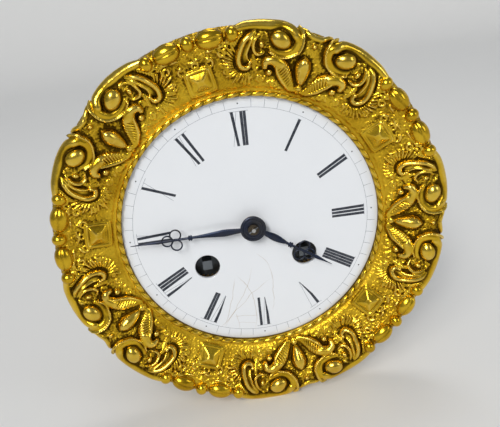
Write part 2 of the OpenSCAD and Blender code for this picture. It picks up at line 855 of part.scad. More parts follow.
// Click, drawn beside its ratchet and turned to its place on the plate
click_turn = 62;
click_reach = 12.2;
click_at = going_at + polar(click_reach, click_turn);
spring_foot = [16.6, -8.4];
spring_at = going_at + [
    spring_foot[0] * cos(click_turn) - spring_foot[1] * sin(click_turn),
    spring_foot[0] * sin(click_turn) + spring_foot[1] * cos(click_turn)
];

module click() {
    nose = polar(ratchet_r + 0.3, -38);
    difference() {
        translate([going_at[0], going_at[1], 0]) rotate(click_turn) {
            disc_at([click_reach, 0], 2, work_z, work_z + work_t);
            slab(work_z, work_z + work_t)
                polygon([[click_reach + 0.8, -1.8], nose + [0.6, -1.7], nose, [click_reach - 1.6, 1]]);
        }
        disc_at(click_at, screw_r + run, work_z - 1, work_z + work_t + 1);
    }
}

module click_springs() {
    color(steel) facing() for (side = [0, 1]) mirror([side, 0, 0]) difference() {
        translate([going_at[0], going_at[1], 0]) rotate(click_turn) {
            disc_at(spring_foot, 2, plate_face, work_z + work_t - 0.2);
            slab(plate_face, work_z + work_t - 0.2)
                polygon([spring_foot + [-0.4, -1.4], [10.6, -5.2], [10.3, -4.8], spring_foot + [0, -0.2]]);
        }
        disc_at(spring_at, screw_r, plate_face - 1, work_z + work_t);
    }
}

module going_barrel() {
    color(brass) facing() barrel(going_at);
}

module going_barrel_cap() {
    color(brass) facing() barrel_cap(going_at);
}

module going_mainspring() {
    color(steel) facing() mainspring(going_at);
}

module going_winding_arbor() {
    color(steel) facing() winding_arbor(going_at);
}

module going_ratchet() {
    color(steel) facing() ratchet(going_at);
}

module going_click() {
    color(steel) facing() click();
}

module strike_barrel() {
    color(brass) facing() barrel(strike_at);
}

module strike_barrel_cap() {
    color(brass) facing() barrel_cap(strike_at);
}

module strike_mainspring() {
    color(steel) facing() mainspring(strike_at);
}

module strike_winding_arbor() {
    color(steel) facing() winding_arbor(strike_at);
}

module strike_ratchet() {
    color(steel) facing() mirror([1, 0, 0]) ratchet(going_at);
}

module strike_click() {
    color(steel) facing() mirror([1, 0, 0]) click();
}

module going_intermediate_wheel() {
    color(brass) facing() wheel(going_mid_at, going_teeth, going_size, going_mid_phase,
        level(middle_depth), wheel_t, arbor_r);
}

module going_intermediate_arbor() {
    color(steel) facing() staff(going_mid_at, intermediate_leaves, great_size, going_mid_phase,
        great_depth - 0.6, great_depth + great_t + 0.6, arbor_r);
}

module third_wheel() {
    color(brass) facing() wheel(third_at, third_teeth, third_size, third_phase,
        level(upper_depth), wheel_t, arbor_r);
}

module third_arbor() {
    color(steel) facing() staff(third_at, third_leaves, centre_size, third_phase,
        centre_depth - 1, centre_depth + wheel_t + 1, arbor_r);
}

// Pointed teeth that lean the way the wheel turns
module escape_wheel() {
    step = 360 / escape_teeth;
    depth = 1.5;
    outline = [for (i = [0 : escape_teeth - 1], point = [[0, 0], [0.08, 0.1], [0.45, depth], [0.75, depth]])
        polar(escape_r - point[1], escape_phase - (i + point[0]) * step)];
    rim_r = escape_r - depth - 1.1;
    color(brass) facing() translate([escape_at[0], escape_at[1], level(escape_depth) - wheel_t]) difference() {
        linear_extrude(wheel_t) polygon(outline);
        translate([0, 0, -1]) cylinder(r = arbor_r, h = wheel_t + 2);
        for (i = [0 : 3]) rotate(escape_phase + i * 90) translate([0, 0, -1])
            crossing(rim_r, arbor_r + 1.4, 1.2, 90, wheel_t + 2);
    }
}

module escape_arbor() {
    color(steel) facing() staff(escape_at, escape_leaves, third_size, escape_phase,
        upper_depth - leaf_over, upper_depth + wheel_t + leaf_over, arbor_r);
}

// Anchor over the escape wheel, its pallets just clear of the teeth
module anchor() {
    reach = escape_r + lever_gap + 0.05;
    pallet = reach * [cos(45), sin(45)] + escape_at;
    rise = pallet_at[1] - pallet[1];
    low = level(escape_depth) - wheel_t;
    high = level(escape_depth);
    color(steel) facing() difference() {
        union() {
            disc_at(pallet_at, 2.2, low, high);
            for (side = [-1, 1]) translate([pallet_at[0], pallet_at[1], 0]) slab(low, high) polygon([
                [side * -1, 1.6], [side * (pallet[0] - 0.6), 1.2 - rise / 3],
                [side * (pallet[0] + 1.5), -rise + 1], [side * pallet[0], -rise],
                [side * (pallet[0] - 0.2), -rise + 1.8], [side * 1.2, -1.8]
            ]);
        }
        disc_at(pallet_at, arbor_r, low - 1, high + 1);
    }
}

module pallet_arbor() {
    shoulder = inner_front - end_shake;
    color(steel) facing() {
        disc_at(pallet_at, pivot_r, shoulder, plate_face);
        disc_at(pallet_at, arbor_r, bridge_z + end_shake, shoulder);
        disc_at(pallet_at, pivot_r, bridge_z - cock_t, bridge_z + end_shake);
    }
}

// Crutch on the pallet arbor: collar, rod, bend and fork for the pendulum
crutch_l = 44;
module crutch() {
    foot_y = pallet_at[1] - crutch_l;
    boss_r = 1.9;
    boss_t = 1.8;
    rod_r = 0.6;
    fork_gap = 2.4;
    prong = 0.8;
    prong_l = 2.4;
    bar = 2 * rod_r;
    color(steel) facing() {
        difference() {
            disc_at(pallet_at, boss_r, crutch_z - boss_t / 2, crutch_z + boss_t / 2);
            disc_at(pallet_at, arbor_r, crutch_z - boss_t, crutch_z + boss_t);
        }
        translate([0, pallet_at[1] - boss_r + 0.3, crutch_z]) rotate([90, 0, 0])
            cylinder(r = rod_r, h = crutch_l - boss_r + 0.3);
        translate([0, foot_y, crutch_z]) sphere(r = rod_r);
        disc_at([0, foot_y], rod_r, pendulum_z + 1.5, crutch_z);
        translate([-fork_gap / 2 - prong, foot_y - rod_r, pendulum_z + 0.5])
            cube([fork_gap + 2 * prong, bar, bar]);
        for (side = [0, 1]) mirror([side, 0, 0]) translate([fork_gap / 2, foot_y - rod_r, pendulum_z - 1.8])
            cube([prong, bar, prong_l]);
    }
}

cock_screw_x = 10.4;
module pallet_cock() {
    foot_w = 5;
    cock_y = pallet_at[1] - cock_h / 2;
    color(brass) facing() difference() {
        union() {
            translate([-cock_w / 2, cock_y, bridge_z - cock_t]) cube([cock_w, cock_h, cock_t]);
            for (side = [0, 1]) mirror([side, 0, 0]) translate([cock_w / 2 - foot_w, cock_y, bridge_z])
                cube([foot_w, cock_h, cock_lift]);
        }
        disc_at(pallet_at, pivot_r + run, bridge_z - cock_t - 1, bridge_z + 1);
        for (side = [-1, 1])
            disc_at([side * cock_screw_x, pallet_at[1]], screw_r, bridge_z - cock_t - 1, plate_back + 1);
    }
}

// Block that holds the pendulum's suspension spring in a slot
module suspension_block() {
    block_y = pallet_at[1] + 1.4;
    back = bridge_z - cock_t;
    block_w = 7;
    block_t = 8;
    spring_slot = 0.6;
    hang_pin_r = 0.75;
    color(brass) facing() difference() {
        translate([-block_w / 2, block_y, back - block_t]) cube([block_w, block_w, block_t]);
        translate([-spring_slot / 2, block_y - 1, back - block_t - 1]) cube([spring_slot, 5, 6.5]);
        translate([0, block_y + 3, pendulum_z]) rotate([0, 90, 0])
            cylinder(r = hang_pin_r, h = block_w + 3, center = true);
    }
}

module movement_screws() {
    click_surface = work_z + work_t + 0.1;
    color(steel) facing() {
        for (side = [0, 1]) mirror([side, 0, 0]) {
            screw_front(click_at, click_surface, click_surface - inner_front);
            screw_front(spring_at, work_z + work_t - 0.2, work_z + work_t - 0.2 - inner_front);
        }
        screw_front(lifting_at, click_surface, click_surface - inner_front);
        for (side = [-1, 1])
            screw_back([side * cock_screw_x, pallet_at[1]], bridge_z - cock_t, cock_t + cock_lift + plate_t);
        screw_front(stand_at, inner_back, plate_t + 1.5);
    }
}

module strike_intermediate_wheel() {
    color(brass) facing() wheel(strike_mid_at, strike_teeth, strike_size, strike_mid_phase,
        level(middle_depth), wheel_t, arbor_r);
}

module strike_intermediate_arbor() {
    color(steel) facing() staff(strike_mid_at, intermediate_leaves, great_size, strike_mid_phase,
        great_depth - 0.6, great_depth + great_t + 0.6, arbor_r, 4);
}

// Wheel with ten pins that lift the hammer
pin_circle_r = 7.2;
module pin_wheel() {
    color(brass) facing() {
        wheel(pin_wheel_at, pin_teeth, pin_wheel_size, pin_phase, level(upper_depth), wheel_t, arbor_r - seat,
            rim_w = 2.2);
        translate([pin_wheel_at[0], pin_wheel_at[1], 0]) rotate(pin_phase) for (i = [0 : strike_pins - 1])
            disc_at(polar(pin_circle_r, i * 360 / strike_pins), 0.5, level(upper_depth + seat),
                level(upper_depth - 6));
        staff(pin_wheel_at, pin_leaves, strike_size, pin_phase,
            middle_depth - leaf_over, middle_depth + wheel_t + leaf_over, arbor_r);
    }
}

module locking_wheel() {
    color(brass) facing() {
        wheel(locking_at, locking_teeth, fine_size, locking_phase, level(locking_depth), wheel_t, arbor_r - seat, 4,
            rim_w = 1);
        staff(locking_at, locking_leaves, pin_wheel_size, locking_phase,
            upper_depth - leaf_over, upper_depth + wheel_t + leaf_over, arbor_r);
        translate([locking_at[0], locking_at[1], 0]) rotate(locking_phase)
            disc_at([5.2, 0], 0.35, level(locking_depth + seat), level(locking_depth - 1.6));
    }
}

small_arbor_r = 0.7;
module warning_wheel() {
    color(brass) facing() {
        wheel(warning_at, warning_teeth, fine_size, warning_phase, level(warning_depth), wheel_t,
            small_arbor_r - seat, 3);
        staff(warning_at, warning_leaves, fine_size, warning_phase,
            locking_depth - leaf_over, locking_depth + wheel_t + leaf_over, small_arbor_r);
    }
}

module fly() {
    vane_w = 4.4;
    color(steel) facing() {
        staff(fly_at, fly_leaves, fine_size, fly_phase,
            warning_depth - 1.2, warning_depth + wheel_t + 1.2, small_arbor_r);
        translate([fly_at[0], fly_at[1], 0]) rotate(35)
            translate([-vane_w, -0.25, level(27)]) cube([2 * vane_w, 0.5, 14]);
    }
}

// Count wheel behind the plate: a slot ends each hour's run of blows
module count_wheel() {
    slot_depth = 1.6;
    blow = 360 / 90;
    // Blows struck up to the end of each hour, with one more at each half hour
    ends = [for (hour = [1 : 12]) hour * (hour + 1) / 2 + hour];
    translate_at = [strike_mid_at[0], strike_mid_at[1], count_z - count_t];
    color(brass) facing() translate(translate_at) difference() {
        cylinder(r = count_r, h = count_t);
        translate([0, 0, -1]) cylinder(r = arbor_r, h = count_t + 2);
        for (end = ends) rotate(90 - end * blow) translate([count_r - slot_depth, -0.5, -1])
            cube([slot_depth + 1, 1, count_t + 2]);
        for (i = [0 : 3]) rotate(i * 90) translate([0, 0, -1])
            crossing(count_r - slot_depth - 1.6, 3, 1.6, 90, count_t + 2);
    }
}

// Lever under the dial that the minute wheel lifts before each hour and half hour
module lifting_piece() {
    tip = toward(minute_at, lifting_at, tip_r(minute_teeth, cannon_size) + lever_gap);
    color(steel) facing() difference() {
        lever_arm(lifting_at, tip, 2, 0.5, work_z, work_z + work_t);
        disc_at(lifting_at, screw_r + run, work_z - 1, work_z + work_t + 1);
    }
}

// A flat arm that narrows from a round boss to its tip
module lever_arm(boss, tip, boss_r, tip_half, low, high) {
    way = (tip - boss) / norm(tip - boss);
    side = [-way[1], way[0]];
    disc_at(boss, boss_r, low, high);
    slab(low, high) polygon([
        boss + side * (boss_r - 0.6), tip + side * tip_half,
        tip - side * tip_half, boss - side * (boss_r - 0.6)
    ]);
}

module locking_detent() {
    inner_tip = toward(locking_at, detent_at, tip_r(locking_teeth, fine_size) + lever_gap);
    outer_tip = toward(strike_mid_at, detent_at, count_r + lever_gap);
    shoulder = inner_front - end_shake;
    color(steel) facing() {
        disc_at(detent_at, pivot_r, shoulder, plate_face);
        disc_at(detent_at, arbor_r, count_z - count_t, shoulder);
        lever_arm(detent_at, inner_tip, 1.6, 0.5, level(locking_depth + wheel_t), level(locking_depth));
        lever_arm(detent_at, outer_tip, 1.6, 0.4, count_z - count_t, count_z);
    }
}

// Hammer: arbor, tail in the path of the pins, shank and head beside the bell
module hammer() {
    tail = toward(pin_wheel_at, hammer_at, pin_circle_r + 0.5 + lever_gap);
    head_r = 3;
    head_l = 6.4;
    strike_z = bell_rim_z - 2.5;
    head_line = 190;
    head_at = [0, bell_y] + polar(bell_r + lever_gap + 0.2 + head_l / 2, head_line);
    shank_l = norm(head_at - hammer_at);
    shoulder = inner_front - end_shake;
    color(steel) facing() {
        disc_at(hammer_at, pivot_r, shoulder, plate_face);
        disc_at(hammer_at, arbor_r, strike_z, shoulder);
        lever_arm(hammer_at, tail, 1.8, 0.5, level(upper_depth - 3), level(upper_depth - 5));
        translate([hammer_at[0], hammer_at[1], strike_z]) sphere(r = arbor_r + 0.1);
        translate([hammer_at[0], hammer_at[1], strike_z]) rotate(bearing(hammer_at, head_at))
            rotate([0, 90, 0]) cylinder(r = 0.8, h = shank_l);
        translate([head_at[0], head_at[1], strike_z]) rotate(head_line) rotate([0, 90, 0])
            cylinder(r = head_r, h = head_l, center = true);
    }
}

module bell() {
    sphere_z = bell_crown_z + bell_sphere_r;
    color(brass) facing() translate([0, bell_y, 0]) difference() {
        intersection() {
            translate([0, 0, sphere_z]) sphere(r = bell_sphere_r, $fn = 96);
            disc(bell_r + 5, bell_crown_z - 1, bell_rim_z);
        }
        translate([0, 0, sphere_z]) sphere(r = bell_sphere_r - bell_wall, $fn = 96);
        disc(stud_r, bell_crown_z - 2, bell_crown_z + 6);
    }
}

module bell_stand() {
    arm_l = norm(stand_at - [0, bell_y]);
    seat_z = bell_crown_z + bell_wall + 0.15;
    color(steel) facing() difference() {
        union() {
            disc_at(stand_at, 4, plate_back - 1.5, plate_back);
            disc_at(stand_at, stand_r, stand_z, plate_back - 1.5);
            translate([stand_at[0], stand_at[1], stand_z]) sphere(r = stand_r);
            translate([0, bell_y, stand_z]) rotate(bearing([0, bell_y], stand_at))
                rotate([0, 90, 0]) cylinder(r = stand_r - 0.2, h = arm_l);
            disc_at([0, bell_y], 3, seat_z, stand_z + 2.4);
            disc_at([0, bell_y], stud_r, bell_crown_z - 3.4, seat_z);
        }
        disc_at(stand_at, screw_r, plate_back - 1.5, plate_back + 1);
    }
}

module bell_nut() {
    color(steel) facing() difference() {
        translate([0, bell_y, bell_crown_z - 2.6]) cylinder(r = 4, h = 2.6, $fn = 6);
        disc_at([0, bell_y], stud_r, bell_crown_z - 4, bell_crown_z + 1);
    }
}

bezel_casting();
mount_ring();
bezel_screws();
ring_posts();
case_straps();
strap_screws();
dial();
dial_feet();
frame_pins();
front_plate();
back_plate();
pillars();
centre_arbor();
centre_wheel();
cannon_pinion();
minute_hand();
hand_collet();
hand_pin();
hour_wheel();
hour_hand();
minute_wheel();
minute_wheel_stud();
going_barrel();
going_barrel_cap();
going_mainspring();
going_winding_arbor();
going_ratchet();
going_click();
strike_barrel();
strike_barrel_cap();
strike_mainspring();
strike_winding_arbor();
strike_ratchet();
strike_click();
click_springs();
going_intermediate_wheel();
going_intermediate_arbor();
third_wheel();
third_arbor();
escape_wheel();
escape_arbor();
anchor();
pallet_arbor();
crutch();
pallet_cock();
suspension_block();
movement_screws();
strike_intermediate_wheel();
strike_intermediate_arbor();
pin_wheel();
locking_wheel();
warning_wheel();
fly();
count_wheel();
lifting_piece();
locking_detent();
hammer();
bell();
bell_stand();
bell_nut();
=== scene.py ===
# Looks of a round striking movement: cast gilt bezel, enamel dial, blued hands, brass wheelwork
import math

import bpy
import numpy as np
from mathutils import Matrix, Vector


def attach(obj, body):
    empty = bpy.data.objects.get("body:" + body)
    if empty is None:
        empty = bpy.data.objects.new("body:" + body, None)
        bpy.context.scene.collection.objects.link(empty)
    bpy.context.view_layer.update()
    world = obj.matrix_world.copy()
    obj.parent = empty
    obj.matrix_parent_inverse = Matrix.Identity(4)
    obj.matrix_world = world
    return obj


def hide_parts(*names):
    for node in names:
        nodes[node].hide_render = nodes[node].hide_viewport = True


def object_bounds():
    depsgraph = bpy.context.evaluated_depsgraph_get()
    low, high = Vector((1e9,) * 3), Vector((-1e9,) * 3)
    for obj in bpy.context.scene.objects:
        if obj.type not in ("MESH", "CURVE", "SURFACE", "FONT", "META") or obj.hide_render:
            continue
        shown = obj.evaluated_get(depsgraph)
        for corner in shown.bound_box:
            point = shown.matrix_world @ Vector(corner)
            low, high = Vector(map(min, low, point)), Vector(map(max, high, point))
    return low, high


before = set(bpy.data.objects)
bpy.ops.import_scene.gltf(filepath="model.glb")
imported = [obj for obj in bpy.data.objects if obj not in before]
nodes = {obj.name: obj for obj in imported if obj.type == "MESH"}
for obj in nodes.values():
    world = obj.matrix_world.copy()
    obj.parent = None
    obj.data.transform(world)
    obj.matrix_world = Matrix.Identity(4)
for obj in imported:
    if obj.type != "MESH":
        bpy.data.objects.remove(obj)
cadLow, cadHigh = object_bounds()
mm = 0.001
print("frame loaded:", len(nodes), "nodes")


# Shader maths: a wrapped socket, so that finishes are written as expressions
class Sock:
    def __init__(self, finish, socket):
        self.finish = finish
        self.socket = socket

    def maths(self, operation, first, second=0.0):
        return self.finish.node("ShaderNodeMath", {"operation": operation}, {0: first, 1: second})

    def __add__(self, other):
        return self.maths("ADD", self, other)

    def __radd__(self, other):
        return self.maths("ADD", other, self)

    def __sub__(self, other):
        return self.maths("SUBTRACT", self, other)

    def __rsub__(self, other):
        return self.maths("SUBTRACT", other, self)

    def __mul__(self, other):
        return self.maths("MULTIPLY", self, other)

    def __rmul__(self, other):
        return self.maths("MULTIPLY", other, self)

    def __abs__(self):
        return self.maths("ABSOLUTE", self)

    def above(self, low, high):                  # 0 below low, 1 above high, smooth between
        return self.finish.node("ShaderNodeMapRange", {"interpolation_type": "SMOOTHSTEP"},
                                {0: self, 1: low, 2: high, 3: 0.0, 4: 1.0})

    def clamped(self):
        return self.finish.node("ShaderNodeClamp", {}, {0: self, 1: 0.0, 2: 1.0})


# One material: its nodes come from node(), its shader gets sockets from dress()
class Finish:
    def __init__(self, name):
        self.material = bpy.data.materials.new(name)
        self.material.use_nodes = True
        self.tree = self.material.node_tree
        self.tree.nodes.clear()
        self.shader = self.tree.nodes.new("ShaderNodeBsdfPrincipled")
        output = self.tree.nodes.new("ShaderNodeOutputMaterial")
        self.tree.links.new(self.shader.outputs[0], output.inputs[0])
        self.place = self.node("ShaderNodeTexCoord", {}, {}, "Object")

    def node(self, kind, settings, inputs, output=0):
        made = self.tree.nodes.new(kind)
        for key, value in settings.items():
            if key == "stops":
                fillRamp(made.color_ramp, value)
            else:
                setattr(made, key, value)
        for key, value in inputs.items():
            self.feed(made.inputs[key], value)
        return Sock(self, made.outputs[output])

    def feed(self, socket, value):
        if isinstance(value, Sock):
            self.tree.links.new(value.socket, socket)
        elif isinstance(value, (tuple, list)) and len(value) == 3 and socket.type == "RGBA":
            socket.default_value = (*value, 1)
        else:
            socket.default_value = value

    def dress(self, **sockets):
        for key, value in sockets.items():
            self.feed(self.shader.inputs[key.replace("_", " ")], value)
        return self.material

    def noise(self, scale, detail, roughness=0.5, place=None):
        return self.node("ShaderNodeTexNoise", {}, {"Vector": place or self.place, "Scale": scale,
                                                    "Detail": detail, "Roughness": roughness})

    def mix(self, factor, first, second):
        return self.node("ShaderNodeMix", {"data_type": "RGBA"}, {0: factor, 6: first, 7: second}, 2)

    def mark(self, name):                        # a value kept on the mesh's own points
        return self.node("ShaderNodeAttribute", {"attribute_name": name}, {}, "Fac")

    def bump(self, height, distance, strength):
        return self.node("ShaderNodeBump", {},
                         {"Height": height, "Distance": distance, "Strength": strength})

    def stretched(self, x, y, z):                # the object's place, scaled along each axis
        return self.node("ShaderNodeVectorMath", {"operation": "MULTIPLY"}, {0: self.place, 1: (x, y, z)})


def fillRamp(ramp, stops):
    while len(ramp.elements) < len(stops):
        ramp.elements.new(1.0)
    for element, (position, colour) in zip(ramp.elements, stops):
        element.position = position
        element.color = (*colour, 1)


# Finishes. Colours are linear. A pair of numbers says where a mask begins and where it is full
gilding = {
    "bright": (0.76, 0.49, 0.030),
    "warm": (0.58, 0.34, 0.014),
    # Painted shade colour for the hollows; below it the painted highlight colour for the crests
    "paintedShade": (0.085, 0.045, 0.003),
    "paintedHighlight": (0.93, 0.68, 0.14),
    "cloudScale": 90,
    "fineScale": 900,
    "matGrain": 2600,
    "warmClouds": (0.35, 0.7),
    # Where the painted shade in the hollows and the painted highlight on the crests begin and are full
    "paintedShadeDepth": (-0.05, 0.85),
    "paintedHighlightHeight": (0.15, 0.8),
    "roughness": 0.23,
    "bump": 0.00022,
}


def giltFinish():
    f = Finish("mercury_gilding")
    patina = f.mark("patina")                    # painted shade: above 0 in a hollow; below 0 on a crest, where it paints a highlight
    matted = f.mark("matted")                    # 1 on the ground between the forms
    cloud = f.noise(gilding["cloudScale"], 4)
    fine = f.noise(gilding["fineScale"], 3)
    grain = f.node("ShaderNodeTexVoronoi", {}, {"Vector": f.place, "Scale": gilding["matGrain"]})
    # Painted shade darkens the hollows and a painted highlight lightens the crests
    shadedMask = (patina * 1.2 + (cloud - 0.5) * 0.6 + (fine - 0.5) * 0.3).above(*gilding["paintedShadeDepth"])
    edge = ((fine - 0.5) * 0.3 - patina).above(*gilding["paintedHighlightHeight"])
    tone = f.mix(cloud.above(*gilding["warmClouds"]), gilding["bright"], gilding["warm"])
    tone = f.mix(shadedMask, tone, gilding["paintedShade"])
    tone = f.mix(edge * 0.6, tone, gilding["paintedHighlight"])
    rough = gilding["roughness"] + matted * 0.16 + shadedMask * 0.2 + (fine - 0.5) * 0.1
    height = grain * matted * 0.6 + fine * 0.5
    return f.dress(Base_Color=tone, Metallic=1.0, Roughness=rough.clamped(),
                   Normal=f.bump(height, gilding["bump"], 0.55))


# Places and sizes on the enamel are in millimetres from the dial's centre
enamelling = {
    "white": (0.80, 0.825, 0.86),
    "cloudy": (0.74, 0.77, 0.82),
    "edge": (0.66, 0.61, 0.47),
    "crack": (0.40, 0.30, 0.20),
    "agedEdge": (47.2, 50.4),
    "edgeWander": 4.0,
    "agedSide": (30, -28),                       # the edge is darkest near this place
    "agedSideReach": 30,
    "agedSideFade": 22,
    "crackHalf": 0.11,
    "crackWander": 2.2,
    "cracks": [                                  # arcs: centre, radius, middle and half length
        ((-8.7, -23.1), 14.3, (3.7, -17.5), 6.2), ((-133.4, -23.1), 138.9, (5.2, -29.5), 8.5),
        ((-54.7, -1.7), 55.1, (-9.4, -31.1), 14.9), ((37.8, -82.0), 66.9, (-6.3, -32.6), 13.7),
        ((-34.2, -38.0), 31.7, (-4.5, -33.2), 13.7), ((-170.4, 22.1), 167.1, (-12.4, -31.6), 10.9),
        ((-9.0, -67.0), 28.6, (-6.8, -38.7), 4.4), ((-10.0, -68.6), 27.0, (-6.6, -42.0), 3.8),
        ((-30.0, -42.4), 19.7, (-10.6, -40.7), 3.6),
    ],
}


def enamelFinish():
    f = Finish("white_enamel")
    e = enamelling
    flat = f.stretched(1.0, 0.0, 1.0)

    def away(x, y):
        spot = (x * mm, 0, y * mm)
        return f.node("ShaderNodeVectorMath", {"operation": "DISTANCE"}, {0: flat, 1: spot}, "Value")

    cloud = f.noise(35, 4)
    stain = f.noise(110, 4)
    wander = (f.noise(160, 3) - 0.5) * (e["crackWander"] * mm)
    half = e["crackHalf"] * mm
    crazed = 0.0
    for centre, radius, middle, reach in e["cracks"]:
        gap = abs(away(*centre) - radius * mm + wander)
        line = 1 - gap.above(half * 0.4, half * 1.6)
        crazed = crazed + line * (1 - away(*middle).above(reach * 0.7 * mm, reach * 1.1 * mm))
    crazed = (crazed * (stain.above(0.25, 0.65) * 0.35 + 0.12)).clamped()
    rim = (away(0, 0) + (stain - 0.5) * (e["edgeWander"] * mm)).above(*[r * mm for r in e["agedEdge"]])
    lowSide = (e["agedSideReach"] * mm - away(*e["agedSide"])).above(0.0, e["agedSideFade"] * mm)
    shade = f.mix(cloud.above(0.3, 0.8) * 0.3, e["white"], e["cloudy"])
    shade = f.mix((rim * (lowSide * 0.5 + 0.35)).clamped(), shade, e["edge"])
    shade = f.mix(crazed, shade, e["crack"])
    return f.dress(Base_Color=shade, Roughness=0.12 + cloud * 0.1, Coat_Weight=0.25, Coat_Roughness=0.05,
                   Normal=f.bump(cloud - crazed * 0.5, 0.0004, 0.15))


printing = {
    "black": (0.012, 0.016, 0.028),
    "thin": (0.16, 0.18, 0.21),
    "through": (0.42, 0.45, 0.50),
    "blackWear": 0.10,
    "thinWear": 0.75,
    "roughness": 0.28,
}


def paintFinish(name, colour, worn):             # worn is how far the enamel shows through
    f = Finish(name)
    wear = f.noise(700, 5).above(0.30, 0.75)
    return f.dress(Base_Color=f.mix(wear * worn, colour, printing["through"]),
                   Roughness=printing["roughness"])


# Metals: the clean colour, the stained colour, the roughness and the grain along x, y and z
metals = {
    "brass": {"pale": (0.80, 0.60, 0.27), "dark": (0.52, 0.34, 0.11),
              "rough": 0.30, "grain": (1.0, 1.0, 9.0)},
    "steel": {"pale": (0.62, 0.62, 0.61), "dark": (0.36, 0.35, 0.34),
              "rough": 0.24, "grain": (1.0, 7.0, 1.0)},
    "blued": {"pale": (0.036, 0.046, 0.078), "dark": (0.060, 0.060, 0.066),
              "rough": 0.34, "grain": (1.0, 1.0, 1.0)},
    "darkSteel": {"pale": (0.17, 0.185, 0.20), "dark": (0.070, 0.070, 0.070),
                  "rough": 0.42, "grain": (1.0, 7.0, 1.0)},
    "oiledBrass": {"pale": (0.12, 0.095, 0.060), "dark": (0.060, 0.050, 0.042),
                   "rough": 0.40, "grain": (1.0, 1.0, 1.0)},
    "springSteel": {"pale": (0.20, 0.22, 0.29), "dark": (0.13, 0.12, 0.12),
                    "rough": 0.30, "grain": (1.0, 6.0, 1.0)},
    "copper": {"pale": (0.72, 0.33, 0.17), "dark": (0.33, 0.13, 0.06),
               "rough": 0.38, "grain": (1.0, 4.0, 1.0)},
    "bellMetal": {"pale": (0.74, 0.58, 0.36), "dark": (0.46, 0.32, 0.17),
                  "rough": 0.22, "grain": (1.0, 9.0, 1.0)},
}


def metalFinish(name, tint):
    f = Finish(name)
    cloud = f.noise(70, 4)
    spots = f.noise(420, 3, 0.65)
    brushed = f.noise(900, 2, 0.5, f.stretched(*tint["grain"]))
    stain = (cloud * 0.7 + spots * 0.3).above(0.40, 0.68)
    tone = f.mix(stain, tint["pale"], tint["dark"])
    rough = tint["rough"] + stain * 0.14 + (brushed - 0.5) * 0.12
    return f.dress(Base_Color=tone, Metallic=1.0, Roughness=rough.clamped(),
                   Normal=f.bump(brushed * 0.7 + spots * 0.3, 0.00008, 0.4))


finishes = {name: metalFinish(name, tint) for name, tint in metals.items()}
finishes["gilt"] = giltFinish()
finishes["enamel"] = enamelFinish()
finishes["print"] = paintFinish("fired_black", printing["black"], printing["blackWear"])
finishes["worn"] = paintFinish("worn_black", printing["thin"], printing["thinWear"])
print("finishes made:", len(finishes))


# Meshes are made in millimetres in the plane of the dial: x right, y up, z towards the viewer
def rowPlace(points):
    points = np.asarray(points, float).reshape(-1, 3)
    return np.stack([points[:, 0], -points[:, 2], points[:, 1]], 1) * mm


def makePiece(name, parts, finish, body, replaced=(), marks=None, smooth=40):
    points, faces, start = [], [], 0
    for partPoints, partFaces in parts:
        points.append(rowPlace(partPoints))
        faces.extend([tuple(i + start for i in face) for face in partFaces])
        start += len(points[-1])
    mesh = bpy.data.meshes.new(name)
    mesh.from_pydata(np.concatenate(points).tolist(), [], faces)
    for key, values in (marks or {}).items():
        mark = mesh.attributes.new(key, "FLOAT", "POINT")
        mark.data.foreach_set("value", np.asarray(values, np.float32))
    mesh.materials.append(finishes[finish])
    mesh.update()
    piece = bpy.data.objects.new(name, mesh)
    bpy.context.scene.collection.objects.link(piece)
    mesh.shade_smooth()
    if smooth:
        mesh.set_sharp_from_angle(angle=math.radians(smooth))
    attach(piece, body)
    if replaced:
        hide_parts(*replaced)


def gridFaces(rows, columns, closedRows=False, flip=False):
    rr, cc = np.meshgrid(np.arange(rows if closedRows else rows - 1), np.arange(columns), indexing="ij")
    nextRow, nextColumn = (rr + 1) % rows, (cc + 1) % columns
    corners = [rr * columns + cc, nextRow * columns + cc,
               nextRow * columns + nextColumn, rr * columns + nextColumn]
    if flip:
        corners = corners[::-1]
    return np.stack([c.ravel() for c in corners], 1).tolist()


def onCircle(radius, angle):                     # clockwise from XII, in degrees
    a = np.radians(angle)
    return np.stack([radius * np.sin(a), radius * np.cos(a)], -1)


def splineThrough(points, count):                # a smooth line through a few chosen points
    p = np.asarray(points, float)
    p = np.vstack([2 * p[0] - p[1], p, 2 * p[-1] - p[-2]])
    t = np.linspace(0, len(p) - 3, count)
    k = np.minimum(t.astype(int), len(p) - 4)
    u = (t - k)[:, None]
    a, b, c, d = p[k], p[k + 1], p[k + 2], p[k + 3]
    return 0.5 * (2 * b + (c - a) * u + (2 * a - 5 * b + 4 * c - d) * u ** 2
                  + (3 * b - a - 3 * c + d) * u ** 3)


# Bezel: one fine skin round the casting's section, raised by the chased relief
bezel = {
    "columns": 1500,
    "rowStep": 0.25,
    "repeats": 5,
    "firstAxis": 24,                             # degrees clockwise from XII to the first pear
    "section": [(51.2, 5.1), (52.2, 5.0), (53.4, 5.6), (55.5, 6.1), (58.0, 6.65), (61.2, 7.5), (64.4, 8.5),
                (67.0, 9.5), (69.4, 10.1), (71.4, 10.2), (72.8, 9.3), (73.6, 7.6), (73.8, 5.6), (73.5, 3.0),
                (72.6, 0.0)],
    "back": [(70.6, 0), (71.0, 6.0), (69.8, 7.4), (68.88, 8.3), (64.4, 6.6), (59.6, 4.8), (59.6, 2.4),
             (51.1, 2.4), (51.1, 4.05), (49.4, 4.05), (49.4, 5.0)],
    "crestRow": 71.4,                            # past this radius the section falls away to the rim
    "fillet": 0.22,
    "jewelFillet": 0.15,
    "floor": -3,                                 # a form's own height counts no lower than this
    "middleTurn": 6,                             # degrees to each side that a form can reach
    "sideTurn": (-3, 36),
    "jewelTurn": 8,
    "pit": {"at": 61.2, "wide": 3.9, "tall": 6.2, "depth": 1.2},
    "shade": 0.6,                                # height below its surroundings at which the painted shade is full
    "seed": 7,
}


def halfRound(x):
    return np.sqrt(np.clip(1 - x * x, 0, 1)) - np.clip(x - 1, 0, 3)


def spread(values, count):
    return np.interp(np.linspace(0, 1, count), np.linspace(0, 1, len(values)), values)


